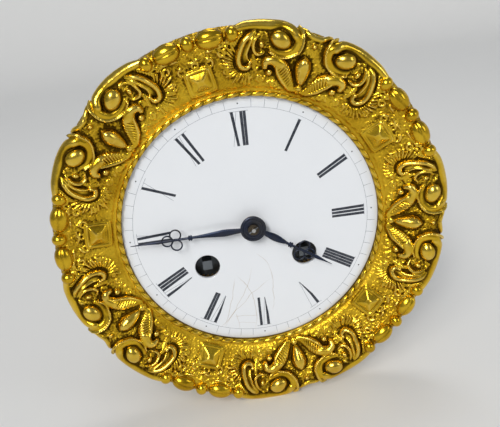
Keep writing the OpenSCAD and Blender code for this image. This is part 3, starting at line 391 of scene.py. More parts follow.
# A raised stroke along a line. Ribs: the two shares of its length, then spacing, depth and slant
def strokeHeight(x, y, line, widths, heights, ribs=None):
    line = np.asarray(line)
    widths, heights = spread(widths, len(line)), spread(heights, len(line))
    best = np.full(x.shape, 9.0)
    rise, along, side = np.zeros(x.shape), np.zeros(x.shape), np.zeros(x.shape)
    reach = np.concatenate([[0], np.cumsum(np.hypot(*np.diff(line, axis=0).T))])
    for i in range(len(line) - 1):
        a, way = line[i], line[i + 1] - line[i]
        t = np.clip(((x - a[0]) * way[0] + (y - a[1]) * way[1]) / max(way @ way, 1e-9), 0, 1)
        width = widths[i] + t * (widths[i + 1] - widths[i])
        gap = np.hypot(x - a[0] - t * way[0], y - a[1] - t * way[1]) / width
        nearer = gap < best
        best = np.where(nearer, gap, best)
        rise = np.where(nearer, heights[i] + t * (heights[i + 1] - heights[i]), rise)
        along = np.where(nearer, reach[i] + t * (reach[i + 1] - reach[i]), along)
        side = np.where(nearer, np.sign(way[0] * (y - a[1]) - way[1] * (x - a[0])) * gap, side)
    height = rise * halfRound(best)
    if ribs:
        start, end, spacing, depth, slant = ribs
        share = along / reach[-1]
        within = np.clip((share - start) / 0.05, 0, 1) * np.clip((end - share) / 0.05, 0, 1)
        wave = 0.5 - 0.5 * np.cos(2 * math.pi * (along + slant * side) / spacing)
        height = height - depth * within * wave ** 1.5 * np.clip(1.2 - np.abs(side), 0, 1)
    return height


def domeHeight(x, y, centre, radii, rise, turn=0.0):
    u, v = x - centre[0], y - centre[1]
    a = math.radians(turn)
    u, v = u * math.cos(a) + v * math.sin(a), v * math.cos(a) - u * math.sin(a)
    return rise * halfRound(np.hypot(u / radii[0], v / radii[1]))


def softMax(a, b, fillet):
    return np.maximum(a, b) + np.clip(fillet - np.abs(a - b), 0, None) ** 2 / (4 * fillet)


def around(centre, reach, turn):                 # turn is counterclockwise from the right, in degrees
    a = math.radians(turn)
    return np.array([centre[0] + reach * math.cos(a), centre[1] + reach * math.sin(a)])


def hollowShape(x, y, centre, radii):            # 1 in the hollow, fading to 0 just past its edge
    out = np.hypot((x - centre[0]) / radii[0], (y - centre[1]) / radii[1])
    return np.clip(1.15 - out, 0, 0.5) / 0.5


# Half of one repeat, to the right of its pear: places are sideways and outward from the dial's centre
forms = {
    "arm": {
        "line": [(28.0, 66.9), (24.6, 69.2), (20.4, 71.2), (16.6, 72.5), (13.0, 73.1), (9.6, 72.7),
                 (7.2, 71.0)],
        "widths": [1.1, 1.7, 2.0, 2.1, 2.0, 1.9, 1.6], "heights": [1.8, 2.3, 2.5, 2.6, 2.5, 2.3, 2.0]},
    "turn": {
        "line": [(7.6, 72.0), (6.0, 70.2), (5.8, 67.9), (7.0, 65.9), (9.2, 64.7), (12.0, 64.4), (14.6, 65.0)],
        "widths": [1.4, 1.7, 1.8, 1.8, 1.6, 1.3, 0.8], "heights": [1.9, 1.8, 1.7, 1.6, 1.5, 1.3, 0.8]},
    "turnEdge": {
        "line": [(7.2, 73.6), (5.2, 72.2), (4.3, 69.7), (4.9, 67.1), (6.6, 65.0), (8.9, 63.7), (11.5, 63.2),
                 (14.2, 63.9)],
        "widths": [0.5, 0.65, 0.65, 0.6], "heights": [2.3, 2.5, 2.4, 2.1],
        "ribs": (0.2, 1.0, 0.9, 0.22, 0.4)},
    "comma": {
        "line": [(21.0, 68.6), (22.9, 66.6), (24.0, 64.0), (24.3, 60.8), (23.8, 58.0), (22.4, 56.2),
                 (20.8, 55.8), (19.6, 56.8), (19.8, 58.2)],
        "widths": [0.5, 1.0, 1.15, 1.2, 1.2, 1.2, 1.15, 1.0, 0.7],
        "heights": [1.0, 1.9, 2.3, 2.5, 2.5, 2.5, 2.4, 2.1, 1.5]},
    "commaInner": {
        "line": [(20.6, 68.0), (21.7, 65.9), (22.1, 63.4), (21.8, 61.0), (20.9, 59.2)],
        "widths": [0.4, 0.7, 0.75, 0.7, 0.5], "heights": [0.9, 1.8, 1.9, 1.7, 1.2]},
    "commaBed": {
        "line": [(22.2, 66.6), (23.0, 63.6), (22.9, 60.4), (21.7, 58.0)],
        "widths": [0.9, 1.6, 1.7, 1.5], "heights": [0.8, 1.3, 1.3, 0.9]},
    "commaLeaf": {
        "line": [(22.8, 69.6), (25.6, 66.4), (26.7, 62.9), (26.9, 59.9)],
        "widths": [0.4, 0.9, 1.0, 0.5], "heights": [0.6, 1.2, 1.2, 0.6], "ribs": (0.0, 1.0, 0.95, 0.55, 0.5)},
    "shell": {
        "line": [(19.6, 68.0), (20.5, 66.2), (20.6, 64.0), (19.6, 62.3), (17.8, 61.7), (16.0, 62.6)],
        "widths": [0.4, 0.7, 0.8, 0.8, 0.7, 0.4], "heights": [0.7, 1.4, 1.6, 1.6, 1.4, 0.8]},
    "leaf": {
        "line": [(19.4, 61.2), (18.9, 59.4), (17.8, 57.4), (16.3, 55.6)],
        "widths": [0.6, 1.1, 1.0, 0.4], "heights": [0.9, 1.3, 1.2, 0.5], "ribs": (0.0, 1.0, 0.8, 0.45, 0.8)},
    "wing": {
        "line": [(2.3, 52.9), (4.4, 55.3), (6.6, 58.0), (9.2, 60.5), (12.0, 61.5), (14.1, 60.5), (14.2, 58.7)],
        "widths": [1.2, 2.1, 2.8, 2.7, 2.1, 1.7, 1.2], "heights": [1.4, 2.0, 2.5, 2.8, 2.8, 2.6, 2.2],
        "ribs": (0.06, 0.56, 1.05, 0.85, -1.3)},
    "wingEdge": {
        "line": [(3.1, 53.2), (6.4, 55.0), (9.0, 57.6), (10.6, 59.6)],
        "widths": [0.5, 0.9, 0.9, 0.6], "heights": [1.7, 2.5, 2.9, 2.9]},
    "crest": {
        "line": [(-0.2, 72.2), (2.2, 72.7), (4.0, 73.8), (5.3, 75.1)],
        "widths": [0.8, 0.9, 1.1, 1.2], "heights": [1.1, 1.3, 1.4, 1.2]},
}
domes = [                                        # the eye and the small balls: place, radii, rise and turn
    ((12.0, 68.4), (4.0, 2.8), 2.7, 8), ((19.9, 58.4), (1.0, 1.0), 1.9, 0),
    ((11.9, 56.9), (1.35, 1.35), 2.1, 0), ((17.9, 65.2), (1.3, 1.0), 1.6, 60),
    ((17.7, 53.4), (0.9, 0.9), 1.0, 0), ((16.4, 59.4), (0.7, 0.7), 0.9, 0),
    ((15.4, 54.0), (0.65, 0.65), 0.8, 0), ((30.6, 57.8), (0.7, 0.7), 0.8, 0),
    ((29.0, 61.0), (0.8, 0.8), 0.9, 0),
]
hollows = [                                      # sunk ground round them: place, radii and depth
    ((12.0, 68.2), (5.2, 4.2), 0.9), ((12.0, 57.8), (2.3, 2.4), 0.9),
    ((3.0, 69.6), (2.2, 1.9), 0.6), ((18.2, 64.8), (2.6, 2.4), 0.5),
]
curls = [                                        # place, size and the turn where each begins
    ((16.4, 59.6), 1.3, 200), ((30.2, 58.4), 1.5, 120), ((33.2, 53.6), 1.6, 60), ((37.2, 51.6), 1.2, 300),
    ((8.9, 53.4), 1.2, 20), ((14.6, 54.0), 1.1, 260), ((28.6, 63.4), 1.3, 150), ((26.6, 53.0), 1.1, 90),
    ((30.9, 61.6), 1.0, 230),
]
leaflets = [                                     # foot and tip
    ((6.2, 53.0), (7.9, 51.7)), ((10.3, 54.9), (11.8, 52.4)), ((12.8, 55.4), (14.4, 52.2)),
    ((16.2, 58.3), (17.6, 55.4)), ((26.6, 65.0), (29.4, 62.6)), ((28.0, 63.9), (30.8, 61.2)),
    ((20.4, 52.4), (18.8, 50.6)), ((30.6, 61.9), (32.6, 59.4)), ((36.4, 54.6), (39.6, 51.4)),
    ((33.0, 58.6), (35.8, 56.6)), ((16.6, 68.2), (18.2, 69.6)), ((17.9, 69.4), (19.8, 68.6)),
]
gadroons = {"count": 15, "centre": (21.4, 57.4), "inner": 3.9, "outer": 7.3, "start": -130, "step": 11.4}
# How far the chaser's hand strays: millimetres, or degrees for the last two
stray = {"form": 0.10, "dome": 0.1, "curl": 0.15, "leaflet": 0.3, "gadroonEnd": 0.35, "gadroonTurn": 0.8,
         "gadroonBow": 1.5}


def sideRelief(x, y, chance):
    fields = []
    for form in forms.values():
        line = np.array(form["line"])
        line = splineThrough(line + chance.normal(0, stray["form"], line.shape), 7 * len(line))
        fields.append(strokeHeight(x, y, line, form["widths"], form["heights"], form.get("ribs")))
    for centre, radii, rise, turn in domes:
        fields.append(domeHeight(x, y, centre + chance.normal(0, stray["dome"], 2), radii, rise, turn))
    g = gadroons
    for k in range(g["count"]):                  # they fan out round the comma's end
        turn = g["start"] + k * g["step"] + chance.normal(0, stray["gadroonTurn"])
        outer = g["outer"] + chance.normal(0, stray["gadroonEnd"])
        bow = 7 + chance.normal(0, stray["gadroonBow"])
        ends = [around(g["centre"], reach, turn + more) for reach, more in
                ((g["inner"], 0), ((g["inner"] + outer) / 2, 5), (outer, bow))]
        fields.append(strokeHeight(x, y, ends, [0.36, 0.50, 0.52], [0.7, 1.15, 0.85]))
    for centre, size, turn in curls:
        centre = centre + chance.normal(0, stray["curl"], 2)
        curl = [around(centre, size * (1 - 0.55 * k / 13), turn + k * 30) for k in range(14)]
        fields.append(strokeHeight(x, y, curl, [0.62, 0.52, 0.4], [0.85, 0.85, 0.7]))
    for foot, tip in leaflets:
        middle = (np.array(foot) + tip) / 2 + chance.normal(0, stray["leaflet"], 2)
        line = splineThrough([foot, middle, tip], 7)
        fields.append(strokeHeight(x, y, line, [0.25, 0.62, 0.2], [0.5, 0.95, 0.4]))
    return fields


# Middle of one repeat: the pear in its pit, the balls at its root and the small one on the crest
pear = {
    "foot": 56, "rise": 4.6, "sunk": 1.2, "middle": 60.9, "halfTall": 5.6, "ends": (55.1, 66.0),
    "outline": [(55.2, 0.8), (56.4, 1.5), (58.2, 2.3), (60.2, 3.0), (62.2, 3.3), (64.0, 2.9), (65.2, 1.9),
                (66.0, 0.4)],
    "lean": [-12, 2, 5, -3, 4],                  # degrees, one for each repeat
    "rootBalls": [(0, 54.4, 1.3), (-1.6, 53.4, 1.0), (1.6, 53.4, 1.0), (0, 52.9, 0.9)],
}


def middleRelief(x, y, lean):
    fields = [domeHeight(x, y, (0, 69.7), (1.0, 0.9), 1.3)]
    a = math.radians(lean)
    up = y - pear["foot"]
    u, v = x * math.cos(a) - up * math.sin(a), pear["foot"] + x * math.sin(a) + up * math.cos(a)
    half = np.interp(v, *zip(*pear["outline"]))
    tall = np.sqrt(np.clip(1 - ((v - pear["middle"]) / pear["halfTall"]) ** 4, 0, 1))
    body = pear["rise"] * halfRound(np.abs(u) / half) * tall - pear["sunk"]
    low, high = pear["ends"]
    fields.append(np.where((v > low) & (v < high), body, bezel["floor"]))
    for dx, dy, size in pear["rootBalls"]:
        fields.append(domeHeight(x, y, (dx, dy), (size, size), 1.5 * size))
    return fields


# Stepped frame round a low pyramid with a small table
jewel = {"halfWide": 5.3, "halfTall": 5.1, "at": 57.9,
         "steps": [(0.0, 3.4), (0.20, 3.3), (0.62, 1.5), (0.64, 1.15), (0.72, 1.15), (0.76, 1.5), (0.80, 1.45),
                   (0.84, 0.8), (0.92, 0.95), (0.96, 0.7), (1.0, 0.0)]}


def jewelRelief(x, y):
    q = ((np.abs(x) / jewel["halfWide"]) ** 10 + (np.abs(y - jewel["at"]) / jewel["halfTall"]) ** 10) ** 0.1
    place, height = zip(*jewel["steps"])
    return np.where(q < 1.0, np.interp(q, place, height), -8 * (q - 1.0))


# Chased ground: fine wandering ridges where a smooth random field passes through zero
ground = {"reach": 1, "rise": 0.46, "width": 0.75}


def chasedGround(shape, chance):
    field = blurred(chance.normal(0, 1, shape), ground["reach"])
    field = field / field.std()
    return ground["rise"] * (np.clip(1 - np.abs(field) / ground["width"], 0, 1) - 0.4)


def bezelSection():
    front = splineThrough(bezel["section"], 400)
    length = np.concatenate([[0], np.cumsum(np.hypot(*np.diff(front, axis=0).T))])
    widest = np.argmax(front[:, 0])
    crest = np.interp(bezel["crestRow"], front[:widest, 0], length[:widest])
    rows = int(length[-1] / bezel["rowStep"])
    at = np.linspace(0, length[-1], rows)
    r, z = np.interp(at, length, front[:, 0]), np.interp(at, length, front[:, 1])
    way = np.stack([np.gradient(r), np.gradient(z)], 1)
    way /= np.hypot(*way.T)[:, None]
    normal = np.stack([-way[:, 1], way[:, 0]], 1)
    developed = np.where(at < crest, r, bezel["crestRow"] + at - crest)
    return r, z, normal, developed


def blurred(field, reach):
    for _ in range(2):
        field = sum(np.roll(field, k, 1) for k in range(-reach, reach + 1)) / (2 * reach + 1)
        padded = np.pad(field, ((reach, reach), (0, 0)), "edge")
        field = sum(padded[k:k + len(field)] for k in range(2 * reach + 1)) / (2 * reach + 1)
    return field


def bezelSkin():
    chance = np.random.default_rng(bezel["seed"])
    r, z, normal, developed = bezelSection()
    columns, repeats = bezel["columns"], bezel["repeats"]
    angle = np.arange(columns) * 360 / columns
    relief = np.zeros((len(r), columns))
    pit = bezel["pit"]

    def window(axis, side, low, high):           # the columns near an axis, and where their points lie
        turn = side * ((angle - axis + 180) % 360 - 180)
        picked = (turn >= low) & (turn <= high)
        a = np.radians(turn[picked])
        return picked, developed[:, None] * np.sin(a), developed[:, None] * np.cos(a)

    def lay(picked, fields, fillet):             # adds raised forms, each blended into what is there
        raised = relief[:, picked]
        for field in fields:
            raised = softMax(raised, np.maximum(field, bezel["floor"]), fillet)
        relief[:, picked] = raised

    for repeat in range(repeats):
        axis = bezel["firstAxis"] + repeat * 360 / repeats
        middle, xm, ym = window(axis, 1, -bezel["middleTurn"], bezel["middleTurn"])
        out = np.hypot(xm / pit["wide"], (ym - pit["at"]) / pit["tall"])
        relief[:, middle] -= pit["depth"] * np.clip((1.3 - out) / 0.5, 0, 1)
        for side in (1, -1):
            picked, x, y = window(axis, side, *bezel["sideTurn"])
            for centre, radii, depth in hollows:
                relief[:, picked] -= depth * hollowShape(x, y, centre, radii)
            lay(picked, sideRelief(x, y, chance), bezel["fillet"])
        lay(middle, middleRelief(xm, ym, pear["lean"][repeat]), bezel["fillet"])
    for repeat in range(repeats):
        axis = bezel["firstAxis"] + (repeat + 0.5) * 360 / repeats
        picked, x, y = window(axis, 1, -bezel["jewelTurn"], bezel["jewelTurn"])
        lay(picked, [jewelRelief(x, y)], bezel["jewelFillet"])

    relief += chasedGround(relief.shape, chance) * np.clip(1.15 - np.abs(relief) / 0.7, 0.05, 1)
    fade = np.clip((developed - 51.3) / 0.7, 0, 1) * np.clip((z - 4.0) / 3.5, 0, 1)
    relief *= fade[:, None]                      # plain at the pearl row and down the rim's outside
    radius = r[:, None] + relief * normal[:, :1]
    height = z[:, None] + relief * normal[:, 1:]
    back = np.array(bezel["back"])
    radius = np.vstack([radius, np.repeat(back[:, :1], columns, 1)])
    height = np.vstack([height, np.repeat(back[:, 1:], columns, 1)])
    a = np.radians(angle)
    points = np.stack([radius * np.sin(a), radius * np.cos(a), height], -1).reshape(-1, 3)
    # Painted shade where the skin lies below its blurred surroundings, a painted highlight where it stands
    # above; the back rows get an even half shade
    paintedShade = np.vstack([(blurred(relief, 4) - relief) / bezel["shade"], np.full((len(back), columns), 0.5)])
    matted = np.vstack([np.clip(1 - relief / 0.5, 0, 1), np.zeros((len(back), columns))])
    return points, gridFaces(len(radius), columns, closedRows=True), paintedShade.ravel(), matted.ravel()


# A ball or a ribbed olive on the rim, its long axis along the rim
rimBeads = {
    "ball": {"radius": 71.3, "height": 10.3, "long": 2.45, "out": 2.7, "up": 2.7, "ribs": 7, "depth": 0.0,
             "tip": 1.0},
    "olive": {"radius": 70.9, "height": 9.9, "long": 5.0, "out": 3.5, "up": 3.2, "ribs": 5, "depth": 0.10,
              "tip": 0.95},
    "ballTurn": 23.6, "oliveTurn": 29.8,         # degrees to each side of a pear
}


def turnedBead(angle, b):
    rows, columns = 24, 72
    t = np.cos(np.linspace(0.02, math.pi - 0.02, rows))
    phi = np.linspace(0, 2 * math.pi, columns, endpoint=False)
    girth = (1 - t ** 2) ** (0.5 * b["tip"])
    flute = 1 - b["depth"] * np.abs(np.cos(b["ribs"] * phi / 2)) ** 12
    along = np.repeat((b["long"] * t)[:, None], columns, 1)
    up = b["up"] * girth[:, None] * flute * np.cos(phi)
    out = b["out"] * girth[:, None] * flute * np.sin(phi)
    a = math.radians(angle)
    x = (b["radius"] + out) * math.sin(a) + along * math.cos(a)
    y = (b["radius"] + out) * math.cos(a) - along * math.sin(a)
    points = np.stack([x, y, b["height"] + up], -1).reshape(-1, 3)
    faces = gridFaces(rows, columns)
    faces.append(list(range(columns)))
    faces.append(list(range((rows - 1) * columns, rows * columns))[::-1])
    # Painted shade in the flutes, towards both tips and on the side of each bead that faces the casting
    shade = np.repeat((2.5 * (1 - flute))[None, :], rows, 0) + 0.3 * (np.abs(t) ** 4)[:, None]
    low = np.clip(-np.cos(phi) * 0.6, 0, 1)[None, :]
    return points, faces, (shade + low).ravel()


def rimRow():
    made = []
    ball, olive = rimBeads["ball"], rimBeads["olive"]
    step = 360 / bezel["repeats"]
    for repeat in range(bezel["repeats"]):
        axis = bezel["firstAxis"] + repeat * step
        made.append(turnedBead(axis + step / 2, ball))
        for side in (-1, 1):
            made.append(turnedBead(axis + side * rimBeads["ballTurn"], ball))
            made.append(turnedBead(axis + side * rimBeads["oliveTurn"], olive))
    return made


# Row of slanted pearls round the dial
pearls = {"radius": 50.45, "height": 5.45, "wide": 1.05, "thick": 1.0, "count": 72, "waist": 0.62,
          "columns": 1440, "around": 18}


def pearlRing():
    u = np.linspace(0, 2 * math.pi, pearls["columns"], endpoint=False)
    v = np.linspace(0, 2 * math.pi, pearls["around"], endpoint=False)[:, None]
    lobe = np.abs(np.cos((pearls["count"] * u + v) / 2))
    swell = pearls["waist"] + (1 - pearls["waist"]) * lobe ** 0.9
    radius = pearls["radius"] + pearls["wide"] * swell * np.cos(v)
    height = pearls["height"] + pearls["thick"] * swell * np.sin(v)
    points = np.stack([radius * np.sin(u), radius * np.cos(u), height], -1).reshape(-1, 3)
    faces = gridFaces(pearls["around"], pearls["columns"], closedRows=True, flip=True)
    # Painted shade in the gaps between the pearls, a painted highlight on their swells
    return points, faces, (0.55 - 1.05 * lobe).ravel()


skinPoints, skinFaces, skinShading, skinMatted = bezelSkin()
makePiece("bezel_relief", [(skinPoints, skinFaces)], "gilt", "movement", ["bezel_casting"],
          {"patina": skinShading, "matted": skinMatted}, smooth=0)
beads = rimRow()
makePiece("bezel_rim_beads", [b[:2] for b in beads], "gilt", "movement", (),
          {"patina": np.concatenate([b[2] for b in beads])}, smooth=0)
pearlPoints, pearlFaces, pearlShading = pearlRing()
makePiece("bezel_pearl_row", [(pearlPoints, pearlFaces)], "gilt", "movement", (),
          {"patina": pearlShading}, smooth=0)
print("bezel made:", len(skinFaces), "faces")


# Flat shapes cut from sheet: outlines in millimetres, with holes, rounded at their edges
def cutSheet(outlines, low, high, rounding, resolution):
    curve = bpy.data.curves.new("outline", "CURVE")
    curve.dimensions = "2D"
    curve.fill_mode = "BOTH"
    curve.extrude = (high - low) / 2 - rounding
    curve.bevel_depth = rounding
    curve.bevel_resolution = resolution
    curve.offset = -rounding
    for outline in outlines:
        line = curve.splines.new("POLY")
        line.points.add(len(outline) - 1)
        for point, place in zip(line.points, outline):
            point.co = (place[0], place[1], 0, 1)
        line.use_cyclic_u = True
    holder = bpy.data.objects.new("outline", curve)
    bpy.context.scene.collection.objects.link(holder)
    evaluated = holder.evaluated_get(bpy.context.evaluated_depsgraph_get())
    mesh = bpy.data.meshes.new_from_object(evaluated)
    points = np.array([v.co for v in mesh.vertices])
    points[:, 2] += (low + high) / 2
    faces = [list(p.vertices) for p in mesh.polygons]
    bpy.data.objects.remove(holder)
    bpy.data.curves.remove(curve)
    bpy.data.meshes.remove(mesh)
    return points, faces


def circleLine(centre, radius, count, clockwise=False):
    a = np.linspace(0, 2 * math.pi, count, endpoint=False) * (-1 if clockwise else 1)
    return np.stack([centre[0] + radius * np.cos(a), centre[1] + radius * np.sin(a)], -1)


def lathe(profile, steps, centre=(0, 0)):
    p = np.asarray(profile, float)
    a = np.linspace(0, 2 * math.pi, steps, endpoint=False)
    x = centre[0] + p[:, :1] * np.cos(a)
    y = centre[1] + p[:, :1] * np.sin(a)
    z = np.repeat(p[:, 1:], steps, 1)
    return np.stack([x, y, z], -1).reshape(-1, 3), gridFaces(len(p), steps, closedRows=True, flip=True)


def turned(part, clockwise):                     # turns a part clockwise about the dial's centre
    points, faces = part
    a = math.radians(clockwise)
    x, y, z = points.T
    return np.stack([x * math.cos(a) + y * math.sin(a), y * math.cos(a) - x * math.sin(a), z], 1), faces


def printOutline(places, clockwise):             # an outline written upright, turned to its place
    return turned((np.array([(x, y, 0) for x, y in places]), None), clockwise)[0][:, :2]


# Enamel dial
dial = {
    "radius": 50.8, "back": 2.4, "face": 4.0, "edge": 0.3,
    "holes": [(19.3, -14.8), (-19.3, -14.8)], "holeRadius": 4.85, "centreHole": 3.4,
    "printRise": 0.03,
}


def dialPlate():
    outlines = [circleLine((0, 0), dial["radius"], 256), circleLine((0, 0), dial["centreHole"], 64, True)]
    outlines += [circleLine(hole, dial["holeRadius"], 96, True) for hole in dial["holes"]]
    return cutSheet(outlines, dial["back"], dial["face"], dial["edge"], 3)


makePiece("enamel_dial", [dialPlate()], "enamel", "movement", ["dial"])


# Roman hours, their feet to the centre. A stroke has its place at the outer and then the inner end
hours = {
    "outer": 44.1, "inner": 31.4, "thick": 1.08, "thin": 0.13,
    "strokes": {
        1: [("bar", 0.0)],
        2: [("bar", -0.68), ("bar", 0.68)],
        3: [("bar", -1.46), ("bar", 0.0), ("bar", 1.46)],
        4: [("bar", -1.83), ("bar", -0.61), ("bar", 0.61), ("bar", 1.83)],
        5: [("wedge", -1.25, -0.35), ("hair", 1.85, -0.2)],
        6: [("wedge", -1.95, -1.55), ("hair", 0.1, -1.4), ("bar", 1.05)],
        7: [("wedge", -2.75, -2.25), ("hair", -0.7, -2.1), ("bar", 0.60), ("bar", 1.80)],
        8: [("wedge", -3.15, -2.85), ("hair", -1.3, -2.7), ("bar", -0.02), ("bar", 1.32), ("bar", 2.64)],
        9: [("bar", -1.25), ("slant", 0.85, 1.6), ("hair", 2.2, 0.4)],
        10: [("slant", -1.6, 0.25), ("hair", 0.6, -1.9)],
        11: [("slant", -1.95, -0.95), ("hair", -0.5, -2.5), ("bar", 1.05)],
        12: [("slant", -2.6, -1.3), ("hair", -0.9, -3.1), ("bar", 0.86), ("bar", 2.06)],
    },
}


def strokeOutline(kind, outerAt, innerAt, hourAngle):
    outer, inner, thick = hours["outer"], hours["inner"], hours["thick"] / 2
    if kind == "wedge":
        sides = [(outer, outerAt - thick, outerAt + thick * 1.2),
                 (outer - 5, outerAt - thick * 0.8, outerAt + thick),
                 (inner + 0.3, innerAt - 0.1, innerAt + 0.1)]
    elif kind == "hair":
        half = hours["thin"] / 2
        sides = [(outer, outerAt - half, outerAt + half), (inner, innerAt - half, innerAt + half)]
    else:
        low = thick * 0.92
        sides = [(outer, outerAt - thick, outerAt + thick), (inner, innerAt - low, innerAt + low)]
    places = [(left, r) for r, left, right in sides] + [(right, r) for r, left, right in sides[::-1]]
    return printOutline(places[::-1], hourAngle)


def serif(radius, half, hourAngle):              # the hair line across the top of an hour
    low = radius - hours["thin"]
    return printOutline([(-half, low), (half, low), (half, radius), (-half, radius)], hourAngle)


def printSheet(outline):
    return cutSheet([outline], dial["face"] - 0.1, dial["face"] + dial["printRise"], 0.0, 0)


def printedHours():
    solid, faint = [], []
    for hour, strokes in hours["strokes"].items():
        clockAngle = hour * 30
        for kind, outerAt, *rest in strokes:
            innerAt = rest[0] if rest else outerAt * 0.9
            target = faint if kind == "hair" else solid
            target.append(printSheet(strokeOutline(kind, outerAt, innerAt, clockAngle)))
        reach = max(abs(s[1]) for s in strokes) + 0.9
        faint.append(printSheet(serif(hours["outer"] + 0.1, reach, clockAngle)))
    return solid, faint


# Minute track: one thin circle, a tick each minute and a dot each five
track = {"circle": 45.3, "tickOuter": 48.4, "line": 0.11, "tick": 0.13, "dotAt": 47.0, "dot": 0.27}


def minuteTrack():
    low, rise = dial["face"] - 0.1, dial["face"] + dial["printRise"]
    inner, outer, half = track["circle"], track["circle"] + track["line"], track["tick"] / 2
    faint = [lathe([(inner, low), (inner, rise), (outer, rise), (outer, low)], 360)]
    dots = []
    for minute in range(60):
        if minute % 5:
            tick = [(-half, inner), (half, inner), (half, track["tickOuter"]), (-half, track["tickOuter"])]
            faint.append(printSheet(printOutline(tick, minute * 6)))
        else:
            dots.append(printSheet(circleLine(onCircle(track["dotAt"], minute * 6), track["dot"], 16)))
    return faint, dots


solidStrokes, faintStrokes = printedHours()
trackLines, trackDots = minuteTrack()
makePiece("dial_hours", solidStrokes, "print", "movement", smooth=30)
makePiece("dial_fine_print", faintStrokes + trackLines, "worn", "movement", smooth=30)
makePiece("dial_minute_dots", trackDots, "print", "movement", smooth=30)
print("dial printed")


# Hands: hub with turned rings, swelling blade, collar, trefoil of three rings and a needle
hands = {
    "minute": {"length": 46.5, "hub": 4.95, "bore": 1.9, "belly": 11.0, "collar": 24.0, "trefoil": 30.0,
               "low": 8.2, "angle": 270.0, "node": "minute_hand", "body": "centre"},
    "hour": {"length": 35.5, "hub": 4.5, "bore": 2.7, "belly": 9.5, "collar": 16.7, "trefoil": 22.4,
             "low": 6.4, "angle": 124.5, "node": "hour_hand", "body": "hour"},
    "thickness": 0.7, "ringOut": 2.3, "ringIn": 1.72, "ringSteps": 48,
    "rings": [(-2.05, -0.6), (2.05, -0.6), (0, 2.7)],
}


def bladePart(stations, low, high):              # a station: y, half width, and how far the crown rises
    points, thick = [], high - low
    for y, half, crown in stations:
        flank, ridge = 0.45 + 0.4 * crown, 0.45 + 0.55 * crown
        across = [(-1, 0.0), (-1, 0.45), (-0.62, flank), (0, ridge), (0.62, flank), (1, 0.45), (1, 0.0)]
        for share, level in across:
            points.append((share * half, y, low + thick * level))
    rows, columns = len(stations), 7
    faces = gridFaces(rows, columns, flip=True)
    faces.append(list(range(columns)))
    faces.append(list(range((rows - 1) * columns, rows * columns))[::-1])
    return np.array(points), faces


def ringPart(centre, outer, inner, low, high):
    a = np.linspace(0, 2 * math.pi, 14, endpoint=False)
    radius = (outer + inner) / 2 + (outer - inner) / 2 * np.cos(a)
    height = (low + high) / 2 + (high - low) / 2 * np.sin(a)
    return lathe(np.stack([radius, height], 1), hands["ringSteps"], centre)


def handParts(h):
    low, high = h["low"], h["low"] + hands["thickness"]
    hub, bore, belly, collar, trefoil = h["hub"], h["bore"], h["belly"], h["collar"], h["trefoil"]
    profile = [(bore, low), (hub - 0.25, low), (hub, low + 0.2), (hub, high - 0.3), (hub - 0.2, high - 0.08),
               (hub - 0.45, high), (hub - 0.8, high), (hub - 0.95, high - 0.18), (hub - 1.15, high - 0.2),
               (hub - 1.3, high - 0.06), (hub - 1.9, high - 0.04), (hub - 2.05, high - 0.2)]
    profile += [(bore + 0.35, high - 0.2), (bore + 0.25, high - 0.02), (bore, high - 0.02)]
    if bore > hub - 2.2:
        profile = profile[:9] + [(bore, high - 0.2)]
    swell = [(hub - 0.5, 0.85, 0.8), (hub + 0.8, 0.95, 0.9), ((hub + belly) / 2, 1.15, 1.0),
             (belly - 1, 1.36, 1.0), (belly + 0.6, 1.40, 1.0), (belly + 2.4, 1.2, 1.0),
             ((belly + collar) / 2 + 1, 0.74, 1.0), (collar - 2, 0.52, 1.0), (collar - 0.7, 0.46, 1.0)]
    neck = [(collar - 0.9, 0.46, 0.9), (collar - 0.62, 0.95, 0.9), (collar - 0.35, 1.22, 1.0),
            (collar, 0.72, 1.0), (collar + 0.32, 1.2, 1.0), (collar + 0.6, 0.9, 0.9),
            (collar + 0.95, 0.44, 0.9), (trefoil + 1.4, 0.52, 1.0)]
    needle = [(trefoil + 0.9, 0.55, 1.0), (trefoil + 4.9, 0.62, 1.0), (trefoil + 6.2, 0.72, 1.0),
              (trefoil + 8, 0.52, 1.0), (h["length"] - 2.5, 0.2, 0.9), (h["length"], 0.05, 0.5)]
    parts = [lathe(profile, 96)] + [bladePart(stations, low, high) for stations in (swell, neck, needle)]
    for dx, dy in hands["rings"]:
        parts.append(ringPart((dx, trefoil + dy), hands["ringOut"], hands["ringIn"], low + 0.05, high))
    return [turned(part, h["angle"]) for part in parts]


for key in ("minute", "hour"):
    h = hands[key]
    makePiece(h["node"] + "_blued", handParts(h), "blued", h["body"], [h["node"]])
print("hands made")


# The other CAD pieces keep their shape and get their finish
finishOf = {
    "brass": ["mount_ring", "ring_posts", "case_straps", "front_plate", "back_plate", "pillars", "centre_wheel",
              "hour_wheel", "minute_wheel", "going_barrel", "going_barrel_cap", "strike_barrel",
              "strike_barrel_cap", "going_intermediate_wheel", "third_wheel", "escape_wheel", "pallet_cock",
              "suspension_block", "strike_intermediate_wheel", "pin_wheel", "locking_wheel", "warning_wheel",
              "count_wheel"],
    "darkSteel": ["going_winding_arbor", "going_ratchet", "going_click", "strike_winding_arbor",
                  "strike_ratchet", "strike_click", "hand_pin"],
    "oiledBrass": ["hand_collet"],
    "steel": ["bezel_screws", "strap_screws", "frame_pins", "centre_arbor", "cannon_pinion",
              "minute_wheel_stud", "going_intermediate_arbor", "third_arbor", "escape_arbor", "anchor",
              "pallet_arbor", "crutch", "strike_intermediate_arbor", "fly", "lifting_piece", "locking_detent",
              "hammer", "bell_stand"],
    "springSteel": ["going_mainspring", "strike_mainspring", "click_springs", "movement_screws", "bell_nut"],
    "copper": ["dial_feet"],
    "bellMetal": ["bell"],
    "gilt": ["bezel_casting"],
    "enamel": ["dial"],
    "blued": ["minute_hand", "hour_hand"],
}
